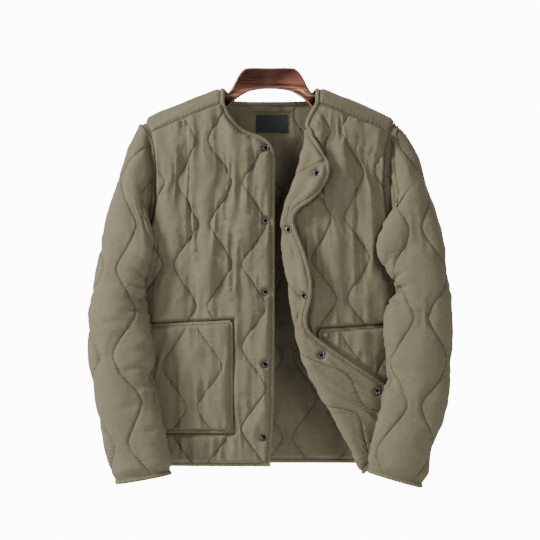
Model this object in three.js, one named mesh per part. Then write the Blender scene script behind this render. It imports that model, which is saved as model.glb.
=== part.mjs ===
// A collarless quilted jacket on a broad wooden hanger, in millimetres.
// The origin is the middle of the hanger's flat top. +Z is up, -Y is the side that the fronts face,
// and +X is the wearer's left. The left front is turned back on itself and shows its inside.
// Every panel is a thin closed wall: a plain inside face, and an outside face raised between the stitched
// lines of an onion quilting. Panels, bindings and pockets are all worked out from one body surface.
import * as THREE from "three";

// Driving dimensions of the garment
const HEM_Z = -735; // where the panels stop and the hem binding starts
const SIDE_ROUNDNESS = 2.6; // exponent of the body's superellipse section
const RIDGE_SOFTNESS = 40; // drop over which the shoulder rounds from ridge to chest
const NECK_HALF = 88; // shoulder neck point to the middle
const WALL = 2.8; // cloth at a stitched line or a seam
const SEAM_GAP = 0.4; // between neighbouring pieces
const PILLOW_PER_WIDTH = 0.075; // height of a quilted pillow for each millimetre of its width
const PILLOW_MOST = 5.5;
const PLACKET = 27; // flat strip beside the front edge, where the snaps sit
const BINDING_HALF_WIDTH = 3.8;
const BINDING_HALF_THICK = 3.4;

// Onion quilting: upright wavy lines, each the mirror of its neighbours
const QUILT_PITCH = 66;
const QUILT_SWING = 22.5; // how far a line sways to each side
const QUILT_PERIOD = 152;
const TIP_SHARPNESS = 0.94; // 0 gives a sine, 1 a zigzag

// Body sections: half width at the side seam, and how far the front and the back stand from the middle
const BODY = [
  { z: -745, half: 247, front: 42, back: 38 },
  { z: -600, half: 243, front: 46, back: 42 },
  { z: -450, half: 240, front: 48, back: 44 },
  { z: -390, half: 243, front: 48, back: 44 },
  { z: -350, half: 252, front: 47, back: 43 },
  { z: -250, half: 258, front: 45, back: 41 },
  { z: -40, half: 258, front: 43, back: 39 },
];
// Top line of the shoulders, from the neck to the tip
const RIDGE = [
  { x: 0, z: -26 },
  { x: 60, z: -32 },
  { x: 90, z: -43 },
  { x: 118, z: -54 },
  { x: 156, z: -69 },
  { x: 196, z: -86 },
  { x: 232, z: -103 },
  { x: 270, z: -122 },
];
// Armhole seam, from the shoulder tip down to the underarm
const ARMHOLE = [
  { z: -103, x: 231 },
  { z: -125, x: 220 },
  { z: -168, x: 212 },
  { z: -218, x: 210 },
  { z: -262, x: 213 },
  { z: -300, x: 222 },
  { z: -332, x: 238 },
  { z: -350, x: 251.6 },
];
const UNDERARM_Z = -350;
// Forward shoulder seam, where each front meets its yoke; the same drop is used behind
const SEAM_DROP = 26;
// Soft upright folds of the hanging cloth: middle, width, height of the fold, and the span it runs over
const BODY_FOLDS = [
  { x: -190, wide: 13, high: 4.5, from: -120, to: -430 },
  { x: -150, wide: 10, high: -3.5, from: -110, to: -360 },
  { x: -118, wide: 12, high: 4.5, from: -100, to: -520 },
  { x: -78, wide: 11, high: -3.5, from: -140, to: -420 },
  { x: -45, wide: 12, high: 3.5, from: -130, to: -500 },
  { x: 128, wide: 12, high: 4.5, from: -100, to: -420 },
  { x: 100, wide: 9, high: -3.5, from: -110, to: -330 },
  { x: 158, wide: 11, high: -3, from: -120, to: -400 },
  { x: 190, wide: 13, high: 4, from: -140, to: -450 },
];

const FRONT = -1;
const BACK = 1;

const clamp = (value, low, high) => Math.min(high, Math.max(low, value));
const mix = (a, b, share) => a + (b - a) * share;
const ease = (share) => {
  const t = clamp(share, 0, 1);
  return t * t * (3 - 2 * t);
};

// A smooth curve through one column of a table against another, straight beyond its ends
function curveThrough(table, from, to) {
  const rows = [...table].sort((a, b) => a[from] - b[from]);
  const slopes = rows.map((row, i) => {
    const before = rows[Math.max(i - 1, 0)];
    const after = rows[Math.min(i + 1, rows.length - 1)];
    return (after[to] - before[to]) / (after[from] - before[from]);
  });
  return (at) => {
    let i = 0;
    while (i < rows.length - 2 && at > rows[i + 1][from]) i += 1;
    const span = rows[i + 1][from] - rows[i][from];
    const t = (at - rows[i][from]) / span;
    if (t < 0) return rows[i][to] + slopes[i] * span * t;
    if (t > 1) return rows[i + 1][to] + slopes[i + 1] * span * (t - 1);
    const t2 = t * t;
    const t3 = t2 * t;
    return (
      (2 * t3 - 3 * t2 + 1) * rows[i][to] +
      (t3 - 2 * t2 + t) * span * slopes[i] +
      (3 * t2 - 2 * t3) * rows[i + 1][to] +
      (t3 - t2) * span * slopes[i + 1]
    );
  };
}

const halfWidthAt = curveThrough(BODY, "z", "half");
const depthAt = { [FRONT]: curveThrough(BODY, "z", "front"), [BACK]: curveThrough(BODY, "z", "back") };
const ridgeCurve = curveThrough(RIDGE, "x", "z");
const ridgeAt = (x) => ridgeCurve(Math.abs(x));
const armholeAt = curveThrough(ARMHOLE, "z", "x");

// How far the soft folds lift the cloth at a point of the front
function foldAt(x, z) {
  let lift = 0;
  for (const fold of BODY_FOLDS) {
    const across = (x - fold.x) / fold.wide;
    const along = ease((fold.from - z) / 50) * ease((z - fold.to) / 120);
    lift += fold.high * Math.exp(-across * across) * along;
  }
  return lift;
}

// The plain inside surface of the body: y for a place seen from the front
function bodyY(side, x, z) {
  const drop = Math.max(ridgeAt(x) - z, 0);
  const rounded = Math.sqrt(1 - Math.exp(-drop / RIDGE_SOFTNESS));
  const across = clamp(Math.abs(x) / halfWidthAt(z), 0, 1);
  const section = Math.pow(1 - Math.pow(across, SIDE_ROUNDNESS), 1 / SIDE_ROUNDNESS);
  const lift = side === FRONT ? foldAt(x, z) : 0.6 * foldAt(-x, z);
  return side * section * rounded * (depthAt[side](z) + lift * Math.min(section * 1.4, 1));
}
const bodyPoint = (side, x, z) => new THREE.Vector3(x, bodyY(side, x, z), z);

// A rounded zigzag of period 1 and height 1
function wave(turns) {
  return Math.asin(TIP_SHARPNESS * Math.sin(2 * Math.PI * turns)) / Math.asin(TIP_SHARPNESS);
}

// Onion quilting on flat cloth: start is the first line's place, and tip a height where line 0 leans furthest back
function quilting({ start, tip, pitch = QUILT_PITCH, swing = QUILT_SWING, period = QUILT_PERIOD }) {
  const line = (k, height) => {
    const sway = wave((height - tip) / period - 0.25) * swing;
    return start + k * pitch + (k % 2 === 0 ? sway : -sway);
  };
  // The line number at a place, with the share of the way to the next line after the point
  const number = (s, height) => {
    let k = Math.floor((s - start) / pitch) - 1;
    while (line(k + 1, height) <= s) k += 1;
    return k + (s - line(k, height)) / (line(k + 1, height) - line(k, height));
  };
  const place = (q, height) => {
    const k = Math.floor(q + 1e-9);
    return mix(line(k, height), line(k + 1, height), q - k);
  };
  const pillow = (q, height) => {
    const k = Math.floor(q + 1e-9);
    const share = q - k;
    const width = line(k + 1, height) - line(k, height);
    const crown = Math.pow(Math.sin(Math.PI * clamp(share, 0, 1)), 0.6);
    return crown * Math.min(width * PILLOW_PER_WIDTH, PILLOW_MOST);
  };
  return { number, place, pillow };
}

// Length along a polyline, and the point at a length on it
class Path {
  constructor(points) {
    this.points = points;
    this.lengths = [0];
    for (let i = 1; i < points.length; i += 1) {
      this.lengths.push(this.lengths[i - 1] + points[i].distanceTo(points[i - 1]));
    }
    this.total = this.lengths[points.length - 1];
  }

  at(length) {
    const wanted = clamp(length, 0, this.total);
    let low = 0;
    let high = this.points.length - 1;
    while (high - low > 1) {
      const middle = (low + high) >> 1;
      if (this.lengths[middle] <= wanted) low = middle;
      else high = middle;
    }
    const share = (wanted - this.lengths[low]) / Math.max(this.lengths[high] - this.lengths[low], 1e-9);
    return this.points[low].clone().lerp(this.points[high], share);
  }
}

// A surface made of rows: rowPoints(r) gives the polyline of row r, for r from 0 to 1
class Surface {
  constructor(rowPoints, outwardSign) {
    this.rowPoints = rowPoints;
    this.sign = outwardSign;
    this.rows = new Map();
  }

  row(r) {
    const key = r.toFixed(6);
    if (!this.rows.has(key)) this.rows.set(key, new Path(this.rowPoints(r)));
    return this.rows.get(key);
  }

  // Point, outward normal, and unit directions along the row and up the rows, at a share of the row's length
  frame(r, share) {
    const nudge = 0.003;
    const row = this.row(r);
    const along = clamp(share, 0, 1) * row.total;
    const step = 1.5;
    const a = row.at(Math.max(along - step, 0));
    const b = row.at(Math.min(along + step, row.total));
    const low = this.row(Math.max(r - nudge, 0));
    const high = this.row(Math.min(r + nudge, 1));
    const across = b.sub(a).normalize();
    const up = high.at(share * high.total).sub(low.at(share * low.total)).normalize();
    const normal = across.clone().cross(up).multiplyScalar(this.sign).normalize();
    return { point: row.at(along), normal, across, up };
  }
}

// Joins two rows of numbered vertices into triangles, always advancing the row that lags in its key
function stitch(triangles, lower, upper, flip) {
  let i = 0;
  let j = 0;
  const face = (a, b, c) => triangles.push(...(flip ? [a, c, b] : [a, b, c]));
  while (i < lower.length - 1 || j < upper.length - 1) {
    const canLower = i < lower.length - 1;
    const canUpper = j < upper.length - 1;
    const lowerNext = canLower ? lower[i + 1].key : Infinity;
    const upperNext = canUpper ? upper[j + 1].key : Infinity;
    if (lowerNext <= upperNext) {
      face(lower[i].id, lower[i + 1].id, upper[j].id);
      i += 1;
    } else {
      face(lower[i].id, upper[j + 1].id, upper[j].id);
      j += 1;
    }
  }
}

function solidGeometry(vertices, triangles) {
  const geometry = new THREE.BufferGeometry();
  geometry.setAttribute("position", new THREE.Float32BufferAttribute(vertices, 3));
  geometry.setIndex(triangles);
  const flat = geometry.toNonIndexed();
  flat.computeVertexNormals();
  return flat;
}

const FOLD_FIRST = -1000; // puts the columns of a fold before every quilt number

// A quilted panel: outside pillows between the stitched lines, a plain inside, and closed rims.
// datum(r) is the flat place of a row's start, heightAt the flat height, mask the share of the pillow's height,
// and extras(r) the lengths along a row where a column of points is needed whatever the quilting. Columns are
// joined by their quilt number, and up to foldTo(r), where the cloth is turned back, by their distance from it.
function quiltedPanel({ surface, rows, quilt, datum, heightAt, mask, extras = () => [], foldTo, wall = WALL }) {
  const vertices = [];
  const triangles = [];
  const vertex = (r, share, offset) => {
    const { point, normal } = surface.frame(r, share);
    point.addScaledVector(normal, offset);
    vertices.push(point.x, point.y, point.z);
    return vertices.length / 3 - 1;
  };
  const least = 3.5;
  const outside = [];
  const inside = [];
  for (const r of rows) {
    const total = surface.row(r).total;
    const s0 = datum(r);
    const numberAt = (share) => quilt.number(s0 + share * total, heightAt(r, share));
    const first = numberAt(0);
    const last = numberAt(1);
    const found = extras(r)
      .filter((s) => s > least && s < total - least)
      .map((s) => ({ key: numberAt(s / total), share: s / total, whole: true }));
    const fixed = found.map((one) => one.share * total);
    for (let quarter = Math.ceil(first * 4); quarter < last * 4; quarter += 1) {
      const q = quarter / 4;
      let share = (quilt.place(q, heightAt(r, 0.5)) - s0) / total;
      for (let again = 0; again < 4; again += 1) {
        share = (quilt.place(q, heightAt(r, clamp(share, 0, 1))) - s0) / total;
      }
      const s = share * total;
      const clear = fixed.every((other) => Math.abs(other - s) > least);
      const whole = quarter % 2 === 0 || r === 0 || r === 1;
      if (clear && s > least && s < total - least) found.push({ key: q, share, whole });
    }
    found.sort((a, b) => a.share - b.share);
    const row = [{ key: first, share: 0, whole: true }, ...found, { key: last, share: 1, whole: true }];
    const turned = foldTo ? foldTo(r) : 0;
    const order = (key, share) => (share * total <= turned + 0.01 ? FOLD_FIRST + share * total - turned : key);
    outside.push(
      row.map(({ key, share }) => {
        const lift = mask(r, share, total) * quilt.pillow(key, heightAt(r, share));
        return { key: order(key, share), share, id: vertex(r, share, wall + lift) };
      }),
    );
    inside.push(
      row
        .filter((one) => one.whole)
        .map(({ key, share }) => ({ key: order(key, share), share, id: vertex(r, share, 0) })),
    );
  }
  const flip = surface.sign < 0;
  const last = rows.length - 1;
  for (let i = 0; i < last; i += 1) {
    stitch(triangles, outside[i], outside[i + 1], flip);
    stitch(triangles, inside[i], inside[i + 1], !flip);
    stitch(
      triangles,
      [{ key: 0, id: inside[i][0].id }, { key: 1, id: outside[i][0].id }],
      [{ key: 0, id: inside[i + 1][0].id }, { key: 1, id: outside[i + 1][0].id }],
      flip,
    );
    stitch(
      triangles,
      [{ key: 0, id: outside[i].at(-1).id }, { key: 1, id: inside[i].at(-1).id }],
      [{ key: 0, id: outside[i + 1].at(-1).id }, { key: 1, id: inside[i + 1].at(-1).id }],
      flip,
    );
  }
  stitch(triangles, inside[0], outside[0], flip);
  stitch(triangles, outside[last], inside[last], flip);
  const sharesOf = (row) => row.map(({ share }) => share);
  return { geometry: solidGeometry(vertices, triangles), low: sharesOf(outside[0]), high: sharesOf(outside[last]) };
}

// A strip with a rounded section along a seam: frames give its point, the way out of the panel and the normal
function bindingGeometry(frames, options = {}) {
  const { closed = false, half = BINDING_HALF_WIDTH, thick = BINDING_HALF_THICK, gap = SEAM_GAP } = options;
  const SIDES = 6;
  const vertices = [];
  const triangles = [];
  for (const { point, out, normal, reach } of squared(frames, closed)) {
    const centre = point.clone().addScaledVector(out, (half + gap) * reach).addScaledVector(normal, WALL / 2);
    for (let i = 0; i < SIDES; i += 1) {
      const angle = (2 * Math.PI * (i + 0.5)) / SIDES;
      const corner = centre
        .clone()
        .addScaledVector(out, (Math.cos(angle) * half * reach) / Math.cos(Math.PI / SIDES))
        .addScaledVector(normal, Math.sin(angle) * thick);
      vertices.push(corner.x, corner.y, corner.z);
    }
  }
  const count = frames.length;
  const steps = closed ? count : count - 1;
  for (let k = 0; k < steps; k += 1) {
    const a = k * SIDES;
    const b = ((k + 1) % count) * SIDES;
    for (let i = 0; i < SIDES; i += 1) {
      const next = (i + 1) % SIDES;
      triangles.push(a + i, b + i, b + next, a + i, b + next, a + next);
    }
  }
  if (!closed) {
    for (let i = 1; i < SIDES - 1; i += 1) {
      triangles.push(0, i, i + 1);
      const far = (count - 1) * SIDES;
      triangles.push(far, far + i + 1, far + i);
    }
  }
  const { point, out, normal } = frames[0];
  const onward = frames[1].point.clone().sub(point);
  // The loops wind one way round out and normal, so the strip is turned when it runs the other way
  if (out.clone().cross(normal).dot(onward) > 0) {
    for (let t = 0; t < triangles.length; t += 3) {
      [triangles[t + 1], triangles[t + 2]] = [triangles[t + 2], triangles[t + 1]];
    }
  }
  return solidGeometry(vertices, triangles);
}

// The frames of a binding along one end of a panel's rows, or along its lowest or highest row
const sideFrames = (surface, rows, share) =>
  rows.map((r) => {
    const { point, normal, across } = surface.frame(r, share);
    return { point, normal, out: across.multiplyScalar(share === 0 ? -1 : 1) };
  });
const rowFrames = (surface, r, shares) =>
  shares.map((share) => {
    const { point, normal, up } = surface.frame(r, share);
    return { point, normal, out: up.multiplyScalar(r === 0 ? -1 : 1) };
  });

// Squares the frames of a binding to its line, and widens its reach where the line turns a corner
function squared(frames, closed = false) {
  const count = frames.length;
  return frames.map(({ point, normal, out }, i) => {
    const before = frames[closed ? (i + count - 1) % count : Math.max(i - 1, 0)].point;
    const after = frames[closed ? (i + 1) % count : Math.min(i + 1, count - 1)].point;
    const arriving = point.clone().sub(before);
    const leaving = after.clone().sub(point);
    const tangent = after.clone().sub(before).normalize();
    const level = normal.clone().addScaledVector(tangent, -normal.dot(tangent)).normalize();
    const away = out.clone().addScaledVector(tangent, -out.dot(tangent));
    away.addScaledVector(level, -away.dot(level)).normalize();
    const bothSides = arriving.length() > 0.01 && leaving.length() > 0.01;
    const turn = bothSides ? arriving.normalize().dot(leaving.normalize()) : 1;
    return { point, normal: level, out: away, reach: Math.min(1 / Math.sqrt((1 + turn) / 2), 1.35) };
  });
}

const steps = (count, from = 0, to = 1) => Array.from({ length: count + 1 }, (_, i) => mix(from, to, i / count));

// Takes a length off the end of a polyline, for the gap at a seam
function trimmed(points, gap) {
  const row = new Path(points);
  const kept = points.filter((_, i) => row.lengths[i] < row.total - gap - 0.05);
  kept.push(row.at(row.total - gap));
  return kept;
}

// The fronts

const NECK_SEAM = [
  { x: -90, z: -69 },
  { x: -80, z: -92 },
  { x: -67, z: -110 },
  { x: -47, z: -125 },
  { x: -22, z: -134 },
  { x: -7, z: -143 },
  { x: 1, z: -156 },
  { x: 4, z: -176 },
];
const FRONT_EDGE = [
  { z: -176, x: 4 },
  { z: -242, x: 3 },
  { z: -555, x: 2 },
  { z: -653, x: 0 },
  { z: -745, x: -6 },
];
const neckSeamAt = curveThrough(NECK_SEAM, "x", "z");
const frontEdgeAt = curveThrough(FRONT_EDGE, "z", "x");
const SHOULDER_SLOPE = 0.42;

// The height of the forward shoulder seam, carried on level with its slope inside the neck
function seamZ(x) {
  const away = Math.abs(x);
  return ridgeAt(Math.max(away, NECK_HALF)) - SEAM_DROP + SHOULDER_SLOPE * Math.max(NECK_HALF - away, 0);
}
const frontRowZ = (r, x) => mix(HEM_Z, seamZ(x), r);

// Where a row of a panel ends: at the side seam, or at the armhole above the underarm
function outerEnd(rowZ) {
  let x = 240;
  for (let again = 0; again < 12; again += 1) {
    const z = rowZ(x);
    const side = halfWidthAt(z) * 0.99999;
    x = z < UNDERARM_Z ? side : Math.min(armholeAt(z), side);
  }
  return x;
}

// Where a row of the right front starts: at the front edge, or at the neck seam above its corner
function frontRowStart(r) {
  const corner = NECK_SEAM[NECK_SEAM.length - 1];
  if (frontRowZ(r, corner.x) <= corner.z) return frontEdgeAt(frontRowZ(r, corner.x));
  let low = NECK_SEAM[0].x;
  let high = corner.x;
  for (let again = 0; again < 30; again += 1) {
    const x = (low + high) / 2;
    if (frontRowZ(r, x) > neckSeamAt(x)) high = x;
    else low = x;
  }
  return (low + high) / 2;
}

const RIGHT_DATUM_X = 4;
function rightFrontRow(r) {
  const start = frontRowStart(r);
  const outer = -outerEnd((x) => frontRowZ(r, x));
  const points = steps(90).map((t) => {
    const x = outer + (start - outer) * (1 - t) * (1 - t) * (1 + 0.9 * t);
    return bodyPoint(FRONT, x, frontRowZ(r, x));
  });
  return trimmed(points, SEAM_GAP / 2);
}

// The left front. Read from its edge, a row runs along the turned-back flap, round the fold and over the body.
// height is where the row would lie on the closed front, angle how far the cloth turns at the fold,
// bend the fold's radius, and lift how far the flap's edge stands off the body.
const FLAP = [
  { height: -112, foldX: 69, foldZ: -112, edgeX: 69.5, edgeZ: -112, angle: 0, bend: 5, lift: 0 },
  { height: -118, foldX: 69, foldZ: -120, edgeX: 72, edgeZ: -121, angle: 45, bend: 5, lift: 0 },
  { height: -124, foldX: 69, foldZ: -127, edgeX: 76, edgeZ: -129, angle: 90, bend: 5, lift: 0 },
  { height: -133, foldX: 69, foldZ: -137, edgeX: 82, edgeZ: -142, angle: 140, bend: 5.5, lift: 0 },
  { height: -146, foldX: 67, foldZ: -152, edgeX: 93, edgeZ: -162, angle: 180, bend: 7, lift: 12 },
  { height: -170, foldX: 60, foldZ: -176, edgeX: 104, edgeZ: -184, angle: 180, bend: 8, lift: 20 },
  { height: -200, foldX: 49, foldZ: -206, edgeX: 98, edgeZ: -214, angle: 180, bend: 9, lift: 22 },
  { height: -230, foldX: 38, foldZ: -237, edgeX: 76, edgeZ: -242, angle: 180, bend: 9, lift: 20 },
  { height: -258, foldX: 29, foldZ: -263, edgeX: 48, edgeZ: -262, angle: 180, bend: 9, lift: 14 },
  { height: -285, foldX: 25, foldZ: -287, edgeX: 38, edgeZ: -283, angle: 180, bend: 8, lift: 9 },
  { height: -312, foldX: 26, foldZ: -312, edgeX: 43, edgeZ: -306, angle: 180, bend: 8, lift: 10 },
  { height: -350, foldX: 30, foldZ: -352, edgeX: 58, edgeZ: -345, angle: 180, bend: 9, lift: 16 },
  { height: -400, foldX: 38, foldZ: -402, edgeX: 71, edgeZ: -397, angle: 180, bend: 9, lift: 20 },
  { height: -435, foldX: 41, foldZ: -438, edgeX: 70, edgeZ: -430, angle: 180, bend: 8, lift: 18 },
  { height: -470, foldX: 46, foldZ: -473, edgeX: 62, edgeZ: -466, angle: 180, bend: 8, lift: 12 },
  { height: -500, foldX: 53, foldZ: -507, edgeX: 70, edgeZ: -494, angle: 180, bend: 8, lift: 8 },
  { height: -530, foldX: 62, foldZ: -537, edgeX: 104, edgeZ: -522, angle: 180, bend: 8, lift: 5 },
  { height: -570, foldX: 79, foldZ: -574, edgeX: 148, edgeZ: -552, angle: 180, bend: 8, lift: 4 },
  { height: -610, foldX: 101, foldZ: -615, edgeX: 187, edgeZ: -578, angle: 180, bend: 8, lift: 3 },
  { height: -650, foldX: 126, foldZ: -655, edgeX: 222, edgeZ: -602, angle: 180, bend: 8, lift: 2 },
  { height: -690, foldX: 146, foldZ: -695, edgeX: 248, edgeZ: -624, angle: 180, bend: 8, lift: 1 },
  { height: -735, foldX: 170, foldZ: -750, edgeX: 268, edgeZ: -648, angle: 180, bend: 8, lift: 0 },
];
const flapCurves = Object.fromEntries(
  Object.keys(FLAP[0]).map((name) => [name, curveThrough(FLAP, "height", name)]),
);
const FLAP_TOP = FLAP[0];
const LEFT_NECK_SEAM = [
  { z: -112, x: 69.5 },
  { z: -98, x: 74 },
  { z: -84, x: 81 },
  { z: -69, x: 90 },
];
const leftNeckAt = curveThrough(LEFT_NECK_SEAM, "z", "x");
// How far in front of the body's inside surface the flap's inside surface lies where it is pressed flat
const FLAP_CLEARANCE = 14;
const SLEEVE_REST_X = 205; // where the flap's corner goes under the sleeve and stops following the body

// The fold of a row: its turning point on the body, the direction of the flap, and the lengths beyond the body
function foldOf(r) {
  const height = frontRowZ(r, FLAP_TOP.foldX);
  const at = Object.fromEntries(Object.entries(flapCurves).map(([name, curve]) => [name, curve(height)]));
  const width = Math.hypot(at.edgeX - at.foldX, at.edgeZ - at.foldZ);
  const along = { x: (at.edgeX - at.foldX) / width, z: (at.edgeZ - at.foldZ) / width };
  const angle = (clamp(at.angle, 0, 180) * Math.PI) / 180;
  const length = Math.max(width - at.bend, 0.6);
  const turn = { x: at.foldX + along.x * at.bend, z: at.foldZ + along.z * at.bend };
  return { height, turned: height < FLAP_TOP.height, along, angle, length, turn, bend: at.bend, lift: at.lift };
}

function leftFrontRow(r) {
  const outer = outerEnd((x) => frontRowZ(r, x));
  const { turned, along, angle, length, turn, bend, lift } = foldOf(r);
  let start = turn.x;
  if (!turned) {
    for (let again = 0; again < 20; again += 1) start = leftNeckAt(frontRowZ(r, start));
  }
  const sag = turned ? turn.z - frontRowZ(r, turn.x) : 0;
  const points = [];
  if (turned) {
    const turnY = bodyY(FRONT, turn.x, turn.z);
    const flatY = turnY - bend * (1 - Math.cos(angle));
    const pressed = ease(angle / Math.PI * 3 - 2);
    for (const t of steps(36, 1, 0).slice(0, -1)) {
      const away = length * t;
      const x = turn.x - along.x * away * Math.cos(angle);
      const z = turn.z - along.z * away * Math.cos(angle);
      const level = bodyY(FRONT, Math.min(x, SLEEVE_REST_X), z) - FLAP_CLEARANCE;
      const y = mix(flatY, level, pressed * ease(2 * t)) - away * Math.sin(angle) - lift * ease(t);
      points.push(new THREE.Vector3(x, y, z));
    }
    for (const t of steps(18, 1, 0).slice(0, -1)) {
      const a = angle * t;
      const back = bend * Math.sin(a);
      const y = turnY - bend * (1 - Math.cos(a));
      points.push(new THREE.Vector3(turn.x - along.x * back, y, turn.z - along.z * back));
    }
  }
  for (const t of steps(72)) {
    const x = outer + (start - outer) * (1 - t) * (1 - t) * (1 + 0.9 * t);
    const near = clamp((outer - x) / (outer - start), 0, 1);
    points.push(bodyPoint(FRONT, x, frontRowZ(r, x) + sag * Math.pow(near, 1.6)));
  }
  return trimmed(points, SEAM_GAP / 2);
}

// The flat place of a left row's start, so that the quilting runs on round the fold
function leftDatum(r) {
  const { turned, angle, length, turn, bend } = foldOf(r);
  return turned ? turn.x - bend * angle - length : leftFrontRow(r)[0].x;
}

// Row heights, closer together at the neck
const ROWS_BELOW = 24;
const ROWS_ABOVE = 10;
const NECK_ROWS_FROM = 0.845;
const PANEL_ROWS = [
  ...steps(ROWS_BELOW, 0, NECK_ROWS_FROM).slice(0, -1),
  ...steps(ROWS_ABOVE, NECK_ROWS_FROM, 1),
];
const EDGE_FADE = 9; // pillows fade out this close to a panel's edge
const fadeAt = (distance) => ease(distance / EDGE_FADE);

// The pockets, seen from the front: their flat outline on the fronts
const POCKETS = {
  right: { side: -1, innerX: 72, outerX: 228, top: -474, topSlope: -0.05, bottom: -676, corner: 17 },
  left: { side: 1, innerX: 92, outerX: 228, top: -490, topSlope: 0.06, bottom: -676, corner: 17 },
};
const insidePocket = (pocket, x, z) => {
  const away = x * pocket.side;
  return away > pocket.innerX - 20 && z < pocket.top + 32 && z > pocket.bottom - 32;
};

// The right front
const rightFront = new Surface(rightFrontRow, -1);
const rightTurns = (r) => frontRowZ(r, RIGHT_DATUM_X) <= FRONT_EDGE[0].z;
const zAlong = (surface) => (r, share) => surface.row(r).at(share * surface.row(r).total).z;
function frontMask(surface, pocket, flatTo) {
  return (r, share, total) => {
    const s = share * total;
    const { x, z } = surface.row(r).at(s);
    const placket = ease((s - flatTo(r)) / EDGE_FADE);
    const covered = insidePocket(pocket, x, z) ? 0 : 1;
    return placket * covered * fadeAt(total - s) * fadeAt((z - HEM_Z) * 0.8 + 1) * fadeAt((seamZ(x) - z) * 1.2);
  };
}
const frontRight = quiltedPanel({
  surface: rightFront,
  rows: PANEL_ROWS,
  quilt: quilting({ start: 34, tip: -139 }),
  datum: (r) => RIGHT_DATUM_X - frontRowStart(r),
  heightAt: zAlong(rightFront),
  mask: frontMask(rightFront, POCKETS.right, (r) => (rightTurns(r) ? PLACKET - 1 : 2)),
  extras: (r) => (rightTurns(r) ? [PLACKET / 2, PLACKET] : []),
});

// The left front
const leftFront = new Surface(leftFrontRow, 1);
const foldEnd = (r) => {
  const { turned, angle, length, bend } = foldOf(r);
  return turned ? length + angle * bend : 0;
};
const leftHeight = (r, share) => frontRowZ(r, leftDatum(r) + share * leftFront.row(r).total);
const underFlap = (r, s) => {
  const { turned, length } = foldOf(r);
  return turned && s < foldEnd(r) + length + 12;
};
const leftMask = frontMask(leftFront, POCKETS.left, (r) => foldEnd(r) + 2);
const frontLeft = quiltedPanel({
  surface: leftFront,
  rows: PANEL_ROWS,
  quilt: quilting({ start: 22, tip: -122 }),
  datum: leftDatum,
  heightAt: leftHeight,
  mask: (r, share, total) => leftMask(r, share, total) * (underFlap(r, share * total) ? 0.3 : 1),
  foldTo: foldEnd,
  extras: (r) => {
    const { turned, angle, length, bend } = foldOf(r);
    if (!turned) return [];
    return [length / 2, ...steps(4).map((t) => length + angle * bend * t)];
  },
});

// The back: from the hem up to the back seams and the nearly level neckline between them
const BACK_NECK_CORNER = 80;
function backTopZ(x) {
  const away = Math.abs(x);
  const corner = ridgeAt(BACK_NECK_CORNER) - SEAM_DROP;
  if (away > BACK_NECK_CORNER) return ridgeAt(x) - SEAM_DROP;
  return mix(-75, corner, Math.pow(away / BACK_NECK_CORNER, 3));
}
const backRowZ = (r, x) => mix(HEM_Z, backTopZ(x), r);
const back = new Surface((r) => {
  const outer = outerEnd((x) => backRowZ(r, x));
  const points = steps(160, -1, 1).map((t) => {
    const x = outer * Math.sin((Math.PI / 2) * t);
    return bodyPoint(BACK, x, backRowZ(r, x));
  });
  return trimmed(trimmed(points, SEAM_GAP / 2).reverse(), SEAM_GAP / 2).reverse();
}, -1);
// The lengths along a row of the back where it passes the corners of the neckline
const neckCorners = ({ points, lengths }) =>
  [-1, 1].map((side) => {
    const x = side * BACK_NECK_CORNER;
    const i = points.findIndex((point) => point.x > x);
    return mix(lengths[i - 1], lengths[i], (x - points[i - 1].x) / (points[i].x - points[i - 1].x));
  });
const BACK_ROWS = [...steps(24, 0, 0.88).slice(0, -1), ...steps(5, 0.88, 1)];
const backPanel = quiltedPanel({
  surface: back,
  rows: BACK_ROWS,
  quilt: quilting({ start: 0, tip: -160 }),
  datum: (r) => -back.row(r).total / 2,
  heightAt: zAlong(back),
  mask: (r, share, total) => fadeAt(share * total) * fadeAt(total - share * total) * fadeAt((1 - r) * 600) * fadeAt(r * 600),
  extras: (r) => (r > BACK_ROWS.at(-3) ? neckCorners(back.row(r)) : []),
});

// The yokes: a strap over each shoulder between the forward seam and the back seam
const YOKE_DROP = SEAM_DROP - SEAM_GAP;
const yokeNeckX = (across) => mix(90, BACK_NECK_CORNER, ease(across));
// across runs from -1 at the forward seam, over the ridge at 0, to 1 at the back seam
function yokePoint(side, out, across) {
  const drop = YOKE_DROP * across * across;
  let tip = 225;
  for (let again = 0; again < 12; again += 1) tip = armholeAt(ridgeAt(tip) - drop);
  const x = mix(yokeNeckX(across), tip - SEAM_GAP / 2, out);
  return bodyPoint(across < 0 ? FRONT : BACK, side * x, ridgeAt(x) - drop);
}
const yokeSurface = (side) =>
  new Surface((out) => steps(60, -1, 1).map((across) => yokePoint(side, out, across)), -side);
const YOKE_ROWS = steps(8);
const yoke = (side) => {
  const surface = yokeSurface(side);
  return {
    surface,
    ...quiltedPanel({
      surface,
      rows: YOKE_ROWS,
      quilt: quilting({ start: -38, tip: 60, pitch: 42, swing: 12 }),
      datum: (r) => -surface.row(r).total / 2,
      heightAt: (r) => r * 150,
      extras: (r) => [-9, 0, 9].map((away) => surface.row(r).total / 2 + away),
      mask: (r, share, total) => fadeAt(share * total) * fadeAt(total - share * total) * fadeAt(r * 150) * fadeAt((1 - r) * 150),
    }),
  };
};
const yokes = { right: yoke(-1), left: yoke(1) };

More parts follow.
